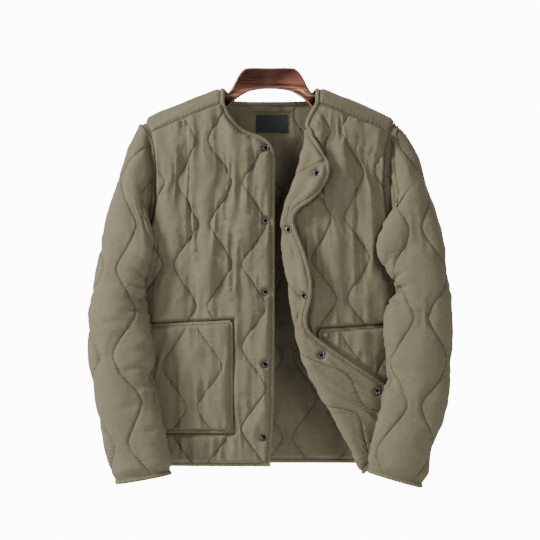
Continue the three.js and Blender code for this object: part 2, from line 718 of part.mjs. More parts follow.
// The sleeves. Each row gives the outline of one ring as it is seen from the front: its outer and inner point,
// how far forward its middle lies, half its depth, and how far its front bulges over the body.
const SLEEVES = {
  right: {
    side: -1,
    rings: [
      { at: 0.03, outX: 240, outZ: -116, inX: 263, inZ: -350, y: -2, half: 37, over: 4 },
      { at: 0.07, outX: 253, outZ: -142, inX: 266, inZ: -354, y: -7, half: 43, over: 14 },
      { at: 0.13, outX: 269, outZ: -184, inX: 266, inZ: -361, y: -14, half: 46, over: 30 },
      { at: 0.2, outX: 284, outZ: -228, inX: 263, inZ: -370, y: -24, half: 43, over: 42 },
      { at: 0.27, outX: 296, outZ: -275, inX: 256, inZ: -382, y: -35, half: 38, over: 38 },
      { at: 0.34, outX: 308, outZ: -318, inX: 242, inZ: -396, y: -43, half: 34, over: 26 },
      { at: 0.41, outX: 319, outZ: -366, inX: 233, inZ: -410, y: -50, half: 32, over: 10 },
      { at: 0.48, outX: 329, outZ: -416, inX: 226, inZ: -430, y: -55, half: 31, over: 0 },
      { at: 0.56, outX: 335, outZ: -470, inX: 220, inZ: -472, y: -60, half: 31, over: 0 },
      { at: 0.64, outX: 336, outZ: -525, inX: 211, inZ: -525, y: -65, half: 31, over: 0 },
      { at: 0.77, outX: 323, outZ: -618, inX: 203, inZ: -616, y: -72, half: 30, over: 0 },
      { at: 0.9, outX: 302, outZ: -710, inX: 184, inZ: -702, y: -78, half: 29, over: 0 },
      { at: 1, outX: 289, outZ: -766, inX: 177, inZ: -746, y: -80, half: 28, over: 0 },
    ],
    creases: [
      { down: 0.49, wide: 17, deep: 8, u: 0.04, spread: 0.1 },
      { down: 0.705, wide: 17, deep: 8, u: 0.04, spread: 0.1 },
      { down: 0.32, wide: 20, deep: 4, u: 0.3, spread: 0.14 },
      { down: 0.6, wide: 22, deep: 3, u: 0.2, spread: 0.12 },
    ],
  },
  left: {
    side: 1,
    rings: [
      { at: 0.03, outX: 238, outZ: -122, inX: 263, inZ: -350, y: -2, half: 37, over: 4 },
      { at: 0.07, outX: 255, outZ: -139, inX: 266, inZ: -354, y: -7, half: 43, over: 16 },
      { at: 0.13, outX: 273, outZ: -176, inX: 266, inZ: -361, y: -14, half: 46, over: 36 },
      { at: 0.2, outX: 289, outZ: -220, inX: 263, inZ: -370, y: -24, half: 43, over: 54 },
      { at: 0.27, outX: 302, outZ: -268, inX: 256, inZ: -382, y: -37, half: 38, over: 58 },
      { at: 0.34, outX: 315, outZ: -313, inX: 242, inZ: -396, y: -47, half: 34, over: 44 },
      { at: 0.41, outX: 325, outZ: -363, inX: 232, inZ: -408, y: -56, half: 32, over: 22 },
      { at: 0.48, outX: 332, outZ: -415, inX: 221, inZ: -430, y: -63, half: 31, over: 4 },
      { at: 0.56, outX: 335, outZ: -463, inX: 208, inZ: -470, y: -70, half: 30, over: 0 },
      { at: 0.64, outX: 334, outZ: -525, inX: 209, inZ: -525, y: -78, half: 29, over: 0 },
      { at: 0.77, outX: 324, outZ: -618, inX: 203, inZ: -614, y: -88, half: 28, over: 0 },
      { at: 0.9, outX: 300, outZ: -707, inX: 182, inZ: -692, y: -93, half: 27, over: 0 },
      { at: 1, outX: 284, outZ: -772, inX: 174, inZ: -740, y: -94, half: 27, over: 0 },
    ],
    creases: [
      { down: 0.465, wide: 17, deep: 9, u: 0.05, spread: 0.11 },
      { down: 0.72, wide: 17, deep: 8, u: 0.04, spread: 0.1 },
      { down: 0.14, wide: 26, deep: 9, u: 0.2, spread: 0.12 },
      { down: 0.33, wide: 22, deep: 5, u: 0.27, spread: 0.13 },
    ],
  },
};
const SLEEVE_SKIN = 5; // wall and half a pillow, taken off the outline to give the inside surface
const SLEEVE_LINES = 6;
const SLEEVE_SWING = 19;
const SLEEVE_PERIOD = 162;
const SLEEVE_LENGTH = 660;
const SLEEVE_COLUMNS = 4 * SLEEVE_LINES;
const SLEEVE_RINGS = 25;
const SLEEVE_LINE_AT = 0.21; // the first line's place round the sleeve, from the inner point through the front
const RING_POINTS = 96;

const UNDERARM_EASE = 2.4; // keeps the sleeve off the panels' straight stretches where the armhole curves
// The armhole as a ring: from the underarm up the front to the tip and down the back
function armholeRing(side) {
  const half = RING_POINTS / 2;
  return steps(RING_POINTS).map((u) => {
    const t = u <= 0.5 ? u * 2 : 2 - u * 2;
    const z = mix(UNDERARM_Z, ARMHOLE[0].z, (1 - Math.cos(Math.PI * t)) / 2);
    const x = armholeAt(z) + SEAM_GAP / 2 + UNDERARM_EASE * ease((-300 - z) / 20);
    const face = u * RING_POINTS <= half ? FRONT : BACK;
    return new THREE.Vector3(side * x, bodyY(face, Math.min(x, halfWidthAt(z)), z), z);
  });
}

function sleeveSurface({ side, rings, creases }) {
  const curves = Object.fromEntries(
    Object.keys(rings[0]).map((name) => [name, curveThrough(rings, "at", name)]),
  );
  const seam = armholeRing(side);
  return new Surface((down) => {
    if (down === 0) return seam;
    const at = Object.fromEntries(Object.entries(curves).map(([name, curve]) => [name, curve(Math.max(down, 0.03))]));
    const outline = new THREE.Vector2(at.outX - at.inX, at.outZ - at.inZ);
    const inset = outline.clone().normalize().multiplyScalar(SLEEVE_SKIN);
    const middle = { x: (at.outX + at.inX) / 2, z: (at.outZ + at.inZ) / 2 };
    const reach = { x: outline.x / 2 - inset.x, z: outline.y / 2 - inset.y };
    const scoop = 1 - ease(down / 0.09);
    return seam.map((onSeam, i) => {
      const u = i / RING_POINTS;
      const turn = 2 * Math.PI * u;
      const front = Math.max(Math.sin(turn), 0);
      const bulge = at.over * front * front * (1 + 0.8 * Math.cos(turn));
      const dent = creases.reduce((sum, crease) => {
        const away = Math.abs(u - crease.u);
        const around = Math.min(away, 1 - away) / crease.spread;
        const along = ((down - crease.down) * SLEEVE_LENGTH) / crease.wide;
        return sum + crease.deep * Math.exp(-around * around - along * along);
      }, 0);
      const shrink = 1 - dent / Math.max(at.half, 30);
      const x = middle.x - reach.x * Math.cos(turn) * shrink - bulge;
      const z = middle.z - reach.z * Math.cos(turn) * shrink;
      const y = at.y - (at.half - 3) * Math.sin(turn) * shrink;
      const plain = new THREE.Vector3(side * x, y, z);
      return plain.lerp(onSeam, scoop * 0.8);
    });
  }, -side);
}

function sleeve(table) {
  const surface = sleeveSurface(table);
  const vertices = [];
  const triangles = [];
  const downs = steps(SLEEVE_RINGS).map((t) => (t < 0.06 ? t * 0.8 : t));
  const outside = [];
  const inside = [];
  for (const down of downs) {
    const total = surface.row(down).total;
    const quilt = quilting({
      start: SLEEVE_LINE_AT * total,
      tip: 0.42 * SLEEVE_LENGTH,
      pitch: total / SLEEVE_LINES,
      swing: SLEEVE_SWING,
      period: SLEEVE_PERIOD,
    });
    const height = down * SLEEVE_LENGTH;
    const fade = fadeAt(height) * fadeAt(SLEEVE_LENGTH - height);
    const outer = [];
    const inner = [];
    for (let column = 0; column < SLEEVE_COLUMNS; column += 1) {
      const q = column / 4;
      const share = (quilt.place(q, height) / total) % 1;
      const { point, normal } = surface.frame(down, share);
      const seamNormal = down === 0 ? armholeNormal(table.side, point) : normal;
      const lifted = point.clone().addScaledVector(seamNormal, WALL + fade * quilt.pillow(q, height));
      vertices.push(lifted.x, lifted.y, lifted.z);
      outer.push({ key: column, share, id: vertices.length / 3 - 1 });
      if (column % 2 === 0) {
        vertices.push(point.x, point.y, point.z);
        inner.push({ key: column, share, id: vertices.length / 3 - 1 });
      }
    }
    outer.push({ ...outer[0], key: SLEEVE_COLUMNS });
    inner.push({ ...inner[0], key: SLEEVE_COLUMNS });
    outside.push(outer);
    inside.push(inner);
  }
  const flip = surface.sign < 0;
  for (let i = 0; i < SLEEVE_RINGS; i += 1) {
    stitch(triangles, outside[i], outside[i + 1], flip);
    stitch(triangles, inside[i], inside[i + 1], !flip);
  }
  stitch(triangles, inside[0], outside[0], flip);
  stitch(triangles, outside[SLEEVE_RINGS], inside[SLEEVE_RINGS], flip);
  return { surface, geometry: solidGeometry(vertices, triangles), low: outside[SLEEVE_RINGS].map(({ share }) => share) };
}

// The body's outward direction beside the armhole, which the sleeve's first ring shares
function armholeNormal(side, point) {
  const step = 1;
  const face = point.y < 0 ? FRONT : BACK;
  const x = Math.min(Math.abs(point.x), halfWidthAt(point.z) - 2 * step);
  const inward = bodyPoint(face, side * (x - step), point.z).sub(bodyPoint(face, side * (x + step), point.z));
  const upward = bodyPoint(face, side * x, point.z + step).sub(bodyPoint(face, side * x, point.z - step));
  return inward.cross(upward).multiplyScalar(side * face).normalize();
}
const sleeves = { right: sleeve(SLEEVES.right), left: sleeve(SLEEVES.left) };

// The pockets: quilted patches lying on the fronts, rounded at their lower corners
const POCKET_BINDING = { half: 3, thick: 2.3 };
const POCKET_LIFT = 5; // the pocket's inside surface in front of the front's inside surface
const foldXAt = curveThrough(FLAP, "foldZ", "foldX");
const FOLD_MARGIN = 27; // the left pocket stops this far from the fold
const flapEdgeZAt = curveThrough(FLAP.filter(({ height }) => height <= -500), "edgeX", "edgeZ");

function liftedPoint(x, z, lift) {
  const acrossBody = bodyPoint(FRONT, x + 1, z).sub(bodyPoint(FRONT, x - 1, z));
  const upBody = bodyPoint(FRONT, x, z + 1).sub(bodyPoint(FRONT, x, z - 1));
  return bodyPoint(FRONT, x, z).addScaledVector(acrossBody.cross(upBody).normalize(), lift);
}

function pocketPiece({ side, innerX, outerX, top, topSlope, bottom, corner }) {
  const surface = new Surface((r) => {
    const heightAt = (x) => mix(bottom, top + topSlope * (x - innerX), r);
    const risen = Math.min(heightAt(innerX) - bottom, corner);
    const rounding = corner - Math.sqrt(corner * corner - (corner - risen) * (corner - risen));
    const foldSide = side > 0 ? foldXAt(heightAt(innerX)) + FOLD_MARGIN : innerX;
    const from = Math.max(innerX, foldSide) + rounding;
    return steps(60).map((t) => {
      const x = mix(from, outerX - rounding, t);
      return liftedPoint(side * x, heightAt(x), POCKET_LIFT);
    });
  }, side);
  const rows = [0, 0.012, 0.035, 0.08, ...steps(8, 0.18, 1)];
  const quilt = quilting({ start: innerX + 20, tip: top + 40 });
  const panel = quiltedPanel({
    surface,
    rows,
    quilt,
    datum: (r) => Math.abs(surface.row(r).points[0].x),
    heightAt: zAlong(surface),
    mask: (r, share, total) => {
      const { x, z } = surface.row(r).at(share * total);
      const covered = side > 0 && z < flapEdgeZAt(x) + 14 ? 0 : 0.6;
      return covered * fadeAt(share * total) * fadeAt(total - share * total) * fadeAt(z - bottom) * fadeAt((1 - r) * 200);
    },
  });
  const around = [
    ...sideFrames(surface, [...rows].reverse(), 0),
    ...rowFrames(surface, 0, panel.low.slice(1, -1)),
    ...sideFrames(surface, rows, 1),
  ];
  return {
    panel: panel.geometry,
    surround: bindingGeometry(around, POCKET_BINDING),
    mouth: bindingGeometry(rowFrames(surface, 1, panel.high), POCKET_BINDING),
  };
}
const pockets = { right: pocketPiece(POCKETS.right), left: pocketPiece(POCKETS.left) };

// The edge binding: up the right front, round the neck, and down the edge of the left front's flap
const neckShares = backPanel.high.filter((share) => {
  const away = Math.abs(back.row(1).at(share * back.row(1).total).x);
  return away < BACK_NECK_CORNER - 7 || Math.abs(away - BACK_NECK_CORNER) < 1;
});
const yokeNeck = yokes.right.surface.row(0).total;
const yokeShares = yokes.right.low.slice(1, -1).filter((share) => share * yokeNeck < yokeNeck - 7);
const edgeFrames = [
  ...sideFrames(rightFront, PANEL_ROWS, 0),
  ...rowFrames(yokes.right.surface, 0, yokeShares),
  ...rowFrames(back, 1, neckShares),
  ...rowFrames(yokes.left.surface, 0, [...yokeShares].reverse()),
  ...sideFrames(leftFront, [...PANEL_ROWS].reverse(), 0),
];
// Carries a binding on past its end, to cover the corner beside the next binding
function carriedOn(end, before) {
  const onward = end.point.clone().sub(before.point).setLength(2 * BINDING_HALF_WIDTH + SEAM_GAP);
  return { ...end, point: end.point.clone().add(onward) };
}
const EDGE_GAP = 1.1; // clear of the rims where the edge is bent
const edgeBinding = bindingGeometry(
  [carriedOn(edgeFrames[0], edgeFrames[1]), ...edgeFrames, carriedOn(edgeFrames.at(-1), edgeFrames.at(-2))],
  { gap: EDGE_GAP },
);

const HEM_GAP = 0.8; // clear of the rim where the row bends sharply at the fold
// The hem binding: from the right front's corner round the back to the corner of the flap
const hemStart = (surface, length) => length / surface.row(0).total;
const hemBinding = bindingGeometry(
  [
    ...rowFrames(rightFront, 0, [hemStart(rightFront, 1), ...frontRight.low.slice(1)]),
    ...rowFrames(back, 0, backPanel.low.slice(1, -1)),
    ...rowFrames(leftFront, 0, [...frontLeft.low.slice(1).reverse(), hemStart(leftFront, 3)]),
  ],
  { gap: HEM_GAP },
);
const cuffBinding = ({ surface, low }) => bindingGeometry(rowFrames(surface, 1, low), { closed: true });

// The snaps: on the right front's outside, and on the inside of the flap, which faces forward
const SNAP_RADIUS = 5.6;
const SNAP_PROFILE = [
  [0, 0],
  [SNAP_RADIUS, 0],
  [SNAP_RADIUS, 1.3],
  [4.5, 2.2],
  [2.7, 1.2],
  [0, 1.2],
];
const SNAPS = {
  right: [
    { x: -8, z: -151 },
    { x: -8, z: -286 },
    { x: -8, z: -418 },
    { x: -9, z: -551 },
    { x: -11, z: -686 },
  ],
  left: [
    { x: 86, z: -199 },
    { x: 34, z: -303 },
    { x: 62, z: -424 },
    { x: 95, z: -534 },
    { x: 199, z: -601 },
  ],
};
// How far forward a piece of cloth reaches within a snap's radius of a place
function frontmostAt(geometry, x, z) {
  const mesh = new THREE.Mesh(geometry, new THREE.MeshBasicMaterial({ side: THREE.DoubleSide }));
  const ray = new THREE.Raycaster();
  const around = [{ x: 0, z: 0 }, ...steps(8).map((t) => ({ x: Math.cos(2 * Math.PI * t), z: Math.sin(2 * Math.PI * t) }))];
  const hits = around.flatMap((away) => {
    const from = new THREE.Vector3(x + away.x * SNAP_RADIUS, -200, z + away.z * SNAP_RADIUS);
    ray.set(from, new THREE.Vector3(0, 1, 0));
    return ray.intersectObject(mesh).slice(0, 1);
  });
  return Math.min(...hits.map(({ point }) => point.y));
}
function snapGeometry(cloth, { x, z }) {
  const profile = SNAP_PROFILE.map(([across, up]) => new THREE.Vector2(across, up));
  const geometry = new THREE.LatheGeometry(profile, 10);
  geometry.rotateX(Math.PI);
  geometry.translate(x, frontmostAt(cloth, x, z) - 0.3, z);
  return geometry;
}

// The label inside the back, below the neckline
const LABEL = { left: -26, right: 33, top: -88, bottom: -121, thick: 0.8, off: 0.7 };
const labelSurface = new Surface(
  (r) =>
    steps(12).map((t) => {
      const x = mix(LABEL.left, LABEL.right, t);
      const z = mix(LABEL.bottom, LABEL.top, r);
      return new THREE.Vector3(x, bodyY(BACK, x, z) - LABEL.off - LABEL.thick, z);
    }),
  -1,
);
const label = quiltedPanel({
  surface: labelSurface,
  rows: [0, 0.5, 1],
  quilt: quilting({ start: 0, tip: 0 }),
  datum: () => 0,
  heightAt: () => 0,
  mask: () => 0,
  wall: LABEL.thick,
});

// The hanger: a flat top, shoulders that fall away in a hollow curve, and arms that carry the yokes
const HANGER_THICK = 14;
const HANGER_BEVEL = 2.5;
const HANGER_HALF_OUTLINE = [
  [0, 0],
  [43, 0],
  [52, -5],
  [60, -15],
  [67, -28],
  [74, -41],
  [82, -49],
  [96, -52],
  [118, -56],
  [156, -71.6],
  [190, -86.8],
  [205, -95],
  [211, -105],
  [207, -115],
  [196, -116],
  [160, -103],
  [124, -92],
  [98, -86],
  [80, -76],
  [64, -59],
  [42, -45],
  [20, -40],
  [0, -39],
];
function hangerGeometry() {
  const outline = [
    ...HANGER_HALF_OUTLINE,
    ...HANGER_HALF_OUTLINE.slice(1, -1).reverse().map(([x, z]) => [-x, z]),
  ].map(([x, z]) => new THREE.Vector2(x, z));
  const geometry = new THREE.ExtrudeGeometry(new THREE.Shape(outline), {
    depth: HANGER_THICK - 2 * HANGER_BEVEL,
    bevelEnabled: true,
    bevelThickness: HANGER_BEVEL,
    bevelSize: HANGER_BEVEL,
    bevelOffset: -HANGER_BEVEL,
    bevelSegments: 2,
  });
  geometry.translate(0, 0, HANGER_BEVEL - HANGER_THICK / 2);
  return geometry.rotateX(Math.PI / 2);
}

const cloth = { color: 0x7a7660, roughness: 0.9, metalness: 0 };
const material = (name, values) => Object.assign(new THREE.MeshStandardMaterial(values), { name });
const QUILTED = material("quilted cloth", cloth);
const BOUND = material("binding", { ...cloth, color: 0x6f6b56 });
const METAL = material("snap metal", { color: 0x3a3a3c, roughness: 0.35, metalness: 1 });
const BLACK = material("label cloth", { color: 0x141414, roughness: 0.8, metalness: 0 });
const WOOD = material("hanger wood", { color: 0x3a1c14, roughness: 0.4, metalness: 0 });

const solids = [
  { name: "front_right", geometry: frontRight.geometry, material: QUILTED },
  { name: "front_left", geometry: frontLeft.geometry, material: QUILTED },
  { name: "back", geometry: backPanel.geometry, material: QUILTED },
  { name: "yoke_right", geometry: yokes.right.geometry, material: QUILTED },
  { name: "yoke_left", geometry: yokes.left.geometry, material: QUILTED },
  { name: "sleeve_right", geometry: sleeves.right.geometry, material: QUILTED },
  { name: "sleeve_left", geometry: sleeves.left.geometry, material: QUILTED },
  { name: "pocket_right", geometry: pockets.right.panel, material: QUILTED },
  { name: "pocket_left", geometry: pockets.left.panel, material: QUILTED },
  { name: "pocket_binding_right", geometry: pockets.right.surround, material: BOUND },
  { name: "pocket_binding_left", geometry: pockets.left.surround, material: BOUND },
  { name: "pocket_mouth_right", geometry: pockets.right.mouth, material: BOUND },
  { name: "pocket_mouth_left", geometry: pockets.left.mouth, material: BOUND },
  { name: "edge_binding", geometry: edgeBinding, material: BOUND },
  { name: "hem_binding", geometry: hemBinding, material: BOUND },
  { name: "cuff_binding_right", geometry: cuffBinding(sleeves.right), material: BOUND },
  { name: "cuff_binding_left", geometry: cuffBinding(sleeves.left), material: BOUND },
  { name: "label", geometry: label.geometry, material: BLACK },
  { name: "hanger", geometry: hangerGeometry(), material: WOOD },
];
SNAPS.right.forEach((at, i) => {
  solids.push({ name: `snap_right_${i + 1}`, geometry: snapGeometry(frontRight.geometry, at), material: METAL });
});
SNAPS.left.forEach((at, i) => {
  solids.push({ name: `snap_left_${i + 1}`, geometry: snapGeometry(frontLeft.geometry, at), material: METAL });
});

const jacket = new THREE.Group();
for (const { name, geometry, material: surfaceMaterial } of solids) {
  const mesh = new THREE.Mesh(geometry, surfaceMaterial);
  mesh.name = name;
  jacket.add(mesh);
}
export default jacket;
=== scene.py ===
# A collarless quilted jacket on a broad wooden hanger. Sizes are in millimetres until a mesh is made.
# The origin is the middle of the hanger's flat top, +Z is up, and the fronts face -Y. Right and left are
# the wearer's. Each panel is a closed sheet: a pillowed outside, a softer pillowed inside, and its edges.
import math

import bpy
import numpy as np
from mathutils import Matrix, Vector
from mathutils.geometry import tessellate_polygon


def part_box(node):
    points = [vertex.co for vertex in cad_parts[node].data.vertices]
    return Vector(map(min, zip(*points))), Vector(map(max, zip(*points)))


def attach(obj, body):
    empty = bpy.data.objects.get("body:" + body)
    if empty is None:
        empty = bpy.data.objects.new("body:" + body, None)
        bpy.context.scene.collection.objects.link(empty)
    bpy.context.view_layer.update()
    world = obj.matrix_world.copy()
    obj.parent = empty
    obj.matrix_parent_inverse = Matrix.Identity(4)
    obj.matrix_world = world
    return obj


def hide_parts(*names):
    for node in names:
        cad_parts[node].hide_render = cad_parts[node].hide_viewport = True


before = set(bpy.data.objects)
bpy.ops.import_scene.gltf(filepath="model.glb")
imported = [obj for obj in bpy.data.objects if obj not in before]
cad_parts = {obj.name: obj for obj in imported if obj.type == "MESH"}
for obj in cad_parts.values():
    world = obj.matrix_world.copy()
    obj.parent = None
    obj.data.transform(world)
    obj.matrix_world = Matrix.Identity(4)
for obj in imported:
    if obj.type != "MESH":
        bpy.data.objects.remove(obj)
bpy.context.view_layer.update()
MM = 0.001
TINY = 1e-9
SAME_PLACE = 1e-6
ROUNDS = {"line": 3, "grid": 4, "side": 12, "neck": 20, "halving": 30}  # of each search


def columns_of(names, rows):
    return {name: [row[i] for row in rows] for i, name in enumerate(names)}


# The garment's driving dimensions, as in the part
HEM_Z = -735.0
SIDE_ROUNDNESS = 2.6
RIDGE_SOFTNESS = 40.0
NECK_HALF = 88.0
WALL = 2.8
SEAM_GAP = 0.4
PILLOW_PER_WIDTH = 0.1
PILLOW_MOST = 7.5
PILLOW_FULLNESS = 0.55
QUILT_PITCH = 66.0
QUILT_SWING = 22.5
QUILT_PERIOD = 152.0
TIP_SHARPNESS = 0.9
UNDERARM_Z = -350.0
SEAM_DROP = 26.0
FRONT, BACK = -1, 1
SIDES = {"right": -1, "left": 1}

# Body sections: height, half width at the side seam, and how far the front and the back stand out
BODY = {
    "z": [-745, -600, -450, -390, -350, -250, -40],
    "half": [247, 243, 240, 243, 252, 258, 258],
    "front": [42, 46, 48, 48, 47, 45, 43],
    "back": [38, 42, 44, 44, 43, 41, 39],
}
RIDGE = {"x": [0, 60, 90, 118, 156, 196, 232, 270], "z": [-26, -32, -43, -54, -69, -86, -103, -122]}
ARMHOLE = {
    "z": [-103, -125, -168, -218, -262, -300, -332, -350],
    "x": [231, 220, 212, 210, 213, 222, 238, 251.6],
}
# Soft upright folds: middle, width, height, and the heights where they start and end
BODY_FOLDS = [
    (-190, 13, 4.5, -120, -430), (-150, 10, -3.5, -110, -360), (-118, 12, 4.5, -100, -520),
    (-78, 11, -3.5, -140, -420), (-45, 12, 3.5, -130, -500), (128, 12, 4.5, -100, -420),
    (100, 9, -3.5, -110, -330), (158, 11, -3, -120, -400), (190, 13, 4, -140, -450),
]
FOLD_STARTS_OVER = 50
FOLD_ENDS_OVER = 120
FOLD_TO_SIDE = 1.4  # how steeply the folds die out towards the side seams
BACK_FOLD_SHARE = 0.6
NECK_SEAM = {
    "x": [-90, -80, -67, -47, -22, -7, 1, 4],
    "z": [-69, -92, -110, -125, -134, -143, -156, -176],
}
FRONT_EDGE = {"z": [-176, -242, -555, -653, -745], "x": [4, 3, 2, 0, -6]}
LEFT_NECK_SEAM = {"z": [-112, -98, -84, -69], "x": [69.5, 74, 81, 90]}
SHOULDER_SLOPE = 0.42
# The turned-back flap of the left front, by the height where a row would lie on the closed front
FLAP_COLUMNS = ("height", "foldX", "foldZ", "edgeX", "edgeZ", "angle", "bend", "lift")
FLAP_ROWS = [
    (-112, 69, -112, 69.5, -112, 0, 5, 0), (-118, 69, -120, 72, -121, 45, 5, 0),
    (-124, 69, -127, 76, -129, 90, 5, 0), (-133, 69, -137, 82, -142, 140, 5.5, 0),
    (-146, 67, -152, 93, -162, 180, 7, 12), (-170, 60, -176, 104, -184, 180, 8, 20),
    (-200, 49, -206, 98, -214, 180, 9, 22), (-230, 38, -237, 76, -242, 180, 9, 20),
    (-258, 29, -263, 48, -262, 180, 9, 14), (-285, 25, -287, 38, -283, 180, 8, 9),
    (-312, 26, -312, 43, -306, 180, 8, 10), (-350, 30, -352, 58, -345, 180, 9, 16),
    (-400, 38, -402, 71, -397, 180, 9, 20), (-435, 41, -438, 70, -430, 180, 8, 18),
    (-470, 46, -473, 62, -466, 180, 8, 12), (-500, 53, -507, 70, -494, 180, 8, 8),
    (-530, 62, -537, 104, -522, 180, 8, 5), (-570, 79, -574, 148, -552, 180, 8, 4),
    (-610, 101, -615, 187, -578, 180, 8, 3), (-650, 126, -655, 222, -602, 180, 8, 2),
    (-690, 146, -695, 248, -624, 180, 8, 1), (-735, 170, -750, 268, -648, 180, 8, 0),
]
FLAP = columns_of(FLAP_COLUMNS, FLAP_ROWS)
FLAP_CLEARANCE = 14.0
FLAP_LEAST = 0.6
SLEEVE_REST_X = 205.0


def mix(a, b, share):
    return a + (b - a) * share


def ease(share):
    t = np.clip(share, 0.0, 1.0)
    return t * t * (3 - 2 * t)


def column(values):
    return np.asarray(values, float)[:, None]


def unit(vectors):
    return vectors / np.maximum(np.linalg.norm(vectors, axis=-1, keepdims=True), TINY)


def smoothed(values, passes, closed):
    for _ in range(passes):
        if closed:
            values = (np.roll(values, 1, axis=0) + 2 * values + np.roll(values, -1, axis=0)) / 4
        else:
            middle = (values[:-2] + 2 * values[1:-1] + values[2:]) / 4
            values = np.concatenate([values[:1], middle, values[-1:]])
    return values


def curve_through(table, across, up):
    """A smooth curve through one column of a table against another, straight beyond its ends."""
    order = np.argsort(table[across])
    x = np.array(table[across], float)[order]
    y = np.array(table[up], float)[order]
    before = np.maximum(np.arange(len(x)) - 1, 0)
    after = np.minimum(np.arange(len(x)) + 1, len(x) - 1)
    slope = (y[after] - y[before]) / (x[after] - x[before])

    def at(value):
        value = np.asarray(value, float)
        i = np.clip(np.searchsorted(x, value, side="left") - 1, 0, len(x) - 2)
        span = x[i + 1] - x[i]
        t = (value - x[i]) / span
        c = np.clip(t, 0, 1)
        inside = (
            (2 * c**3 - 3 * c**2 + 1) * y[i]
            + (c**3 - 2 * c**2 + c) * span * slope[i]
            + (3 * c**2 - 2 * c**3) * y[i + 1]
            + (c**3 - c**2) * span * slope[i + 1]
        )
        beyond = np.where(t < 0, slope[i] * span * t, np.where(t > 1, slope[i + 1] * span * (t - 1), 0))
        return inside + beyond

    return at


half_width_at = curve_through(BODY, "z", "half")
depth_at = {FRONT: curve_through(BODY, "z", "front"), BACK: curve_through(BODY, "z", "back")}
ridge_curve = curve_through(RIDGE, "x", "z")
armhole_at = curve_through(ARMHOLE, "z", "x")
neck_seam_at = curve_through(NECK_SEAM, "x", "z")
front_edge_at = curve_through(FRONT_EDGE, "z", "x")
left_neck_at = curve_through(LEFT_NECK_SEAM, "z", "x")
flap_curves = {name: curve_through(FLAP, "height", name) for name in FLAP_COLUMNS}


def ridge_at(x):
    return ridge_curve(np.abs(x))


def fold_at(x, z):
    lift = 0.0
    for middle, wide, high, start, end in BODY_FOLDS:
        along = ease((start - z) / FOLD_STARTS_OVER) * ease((z - end) / FOLD_ENDS_OVER)
        lift = lift + high * np.exp(-(((x - middle) / wide) ** 2)) * along
    return lift


def body_y(side, x, z):
    x, z = np.asarray(x, float), np.asarray(z, float)
    drop = np.maximum(ridge_at(x) - z, 0)
    rounded = np.sqrt(1 - np.exp(-drop / RIDGE_SOFTNESS))
    across = np.clip(np.abs(x) / half_width_at(z), 0, 1)
    section = (1 - across**SIDE_ROUNDNESS) ** (1 / SIDE_ROUNDNESS)
    lift = fold_at(x, z) if side == FRONT else BACK_FOLD_SHARE * fold_at(-x, z)
    return side * section * rounded * (depth_at[side](z) + lift * np.minimum(section * FOLD_TO_SIDE, 1))


def body_points(side, x, z):
    x, z = np.broadcast_arrays(np.asarray(x, float), np.asarray(z, float))
    return np.stack([x, body_y(side, x, z), z], -1)


QUARTER_TURN = 0.25


class Quilt:
    """Onion quilting on flat cloth. Lines run up the cloth, each the mirror of its neighbours."""

    def __init__(self, start, tip, pitch=QUILT_PITCH, swing=QUILT_SWING, period=QUILT_PERIOD):
        self.start, self.tip, self.pitch, self.swing, self.period = start, tip, pitch, swing, period

    def line(self, k, height):
        turns = (height - self.tip) / self.period - QUARTER_TURN
        wave = np.arcsin(TIP_SHARPNESS * np.sin(2 * np.pi * turns)) / math.asin(TIP_SHARPNESS)
        return self.start + k * self.pitch + np.where(k % 2 == 0, 1, -1) * wave * self.swing

    def measure(self, s, height):
        """Pillow height at each point, and its signed distance to the nearest line."""
        s, height = np.broadcast_arrays(np.asarray(s, float), np.asarray(height, float))
        k = np.floor((s - self.start) / self.pitch) - 1
        for _ in range(ROUNDS["line"]):
            k = np.where(self.line(k + 1, height) <= s, k + 1, k)
        low, high = self.line(k, height), self.line(k + 1, height)
        width = high - low
        share = np.clip((s - low) / width, 0, 1)
        lean = (self.line(k, height + 1) - self.line(k, height - 1)) / 2
        straight = 1 / np.sqrt(1 + lean**2)
        distance = np.where(share < 0.5, s - low, s - high) * straight
        crown = np.sin(np.pi * share) ** PILLOW_FULLNESS
        return crown * np.minimum(width * PILLOW_PER_WIDTH, PILLOW_MOST), distance


NOISE_HASH = {"x": 127.1, "y": 311.7, "seed": 74.7, "gain": 43758.5453}


def lattice(x, y, seed):
    """Smooth noise from -1 to 1 on a unit lattice."""
    xi, yi = np.floor(x), np.floor(y)
    fx, fy = ease(x - xi), ease(y - yi)

    def corner(dx, dy):
        place = (xi + dx) * NOISE_HASH["x"] + (yi + dy) * NOISE_HASH["y"] + seed * NOISE_HASH["seed"]
        value = np.sin(place) * NOISE_HASH["gain"]
        return 2 * (value - np.floor(value)) - 1

    low = mix(corner(0, 0), corner(1, 0), fx)
    high = mix(corner(0, 1), corner(1, 1), fx)
    return mix(low, high, fy)


def ridged(x, y, seed):
    """Noise from 0 to 1 with soft hollows and narrow crests."""
    return (1 - np.abs(lattice(x, y, seed))) ** 2


def lengths_along(points):
    return np.concatenate([[0], np.cumsum(np.linalg.norm(np.diff(points, axis=0), axis=1))])


def spread_at(values, lengths, wanted):
    """Vectors that are known at some lengths along a line, at other lengths along it."""
    return np.stack([np.interp(wanted, lengths, values[:, i]) for i in range(3)], -1)


def normals_of(grid, sign, closed=False):
    """Unit normals of a grid of points, rows going up and columns across."""
    up = np.gradient(grid, axis=0)
    if closed:
        across = np.roll(grid, -1, axis=1) - np.roll(grid, 1, axis=1)
    else:
        across = np.gradient(grid, axis=1)
    return unit(np.cross(across, up) * sign)


# Meshes

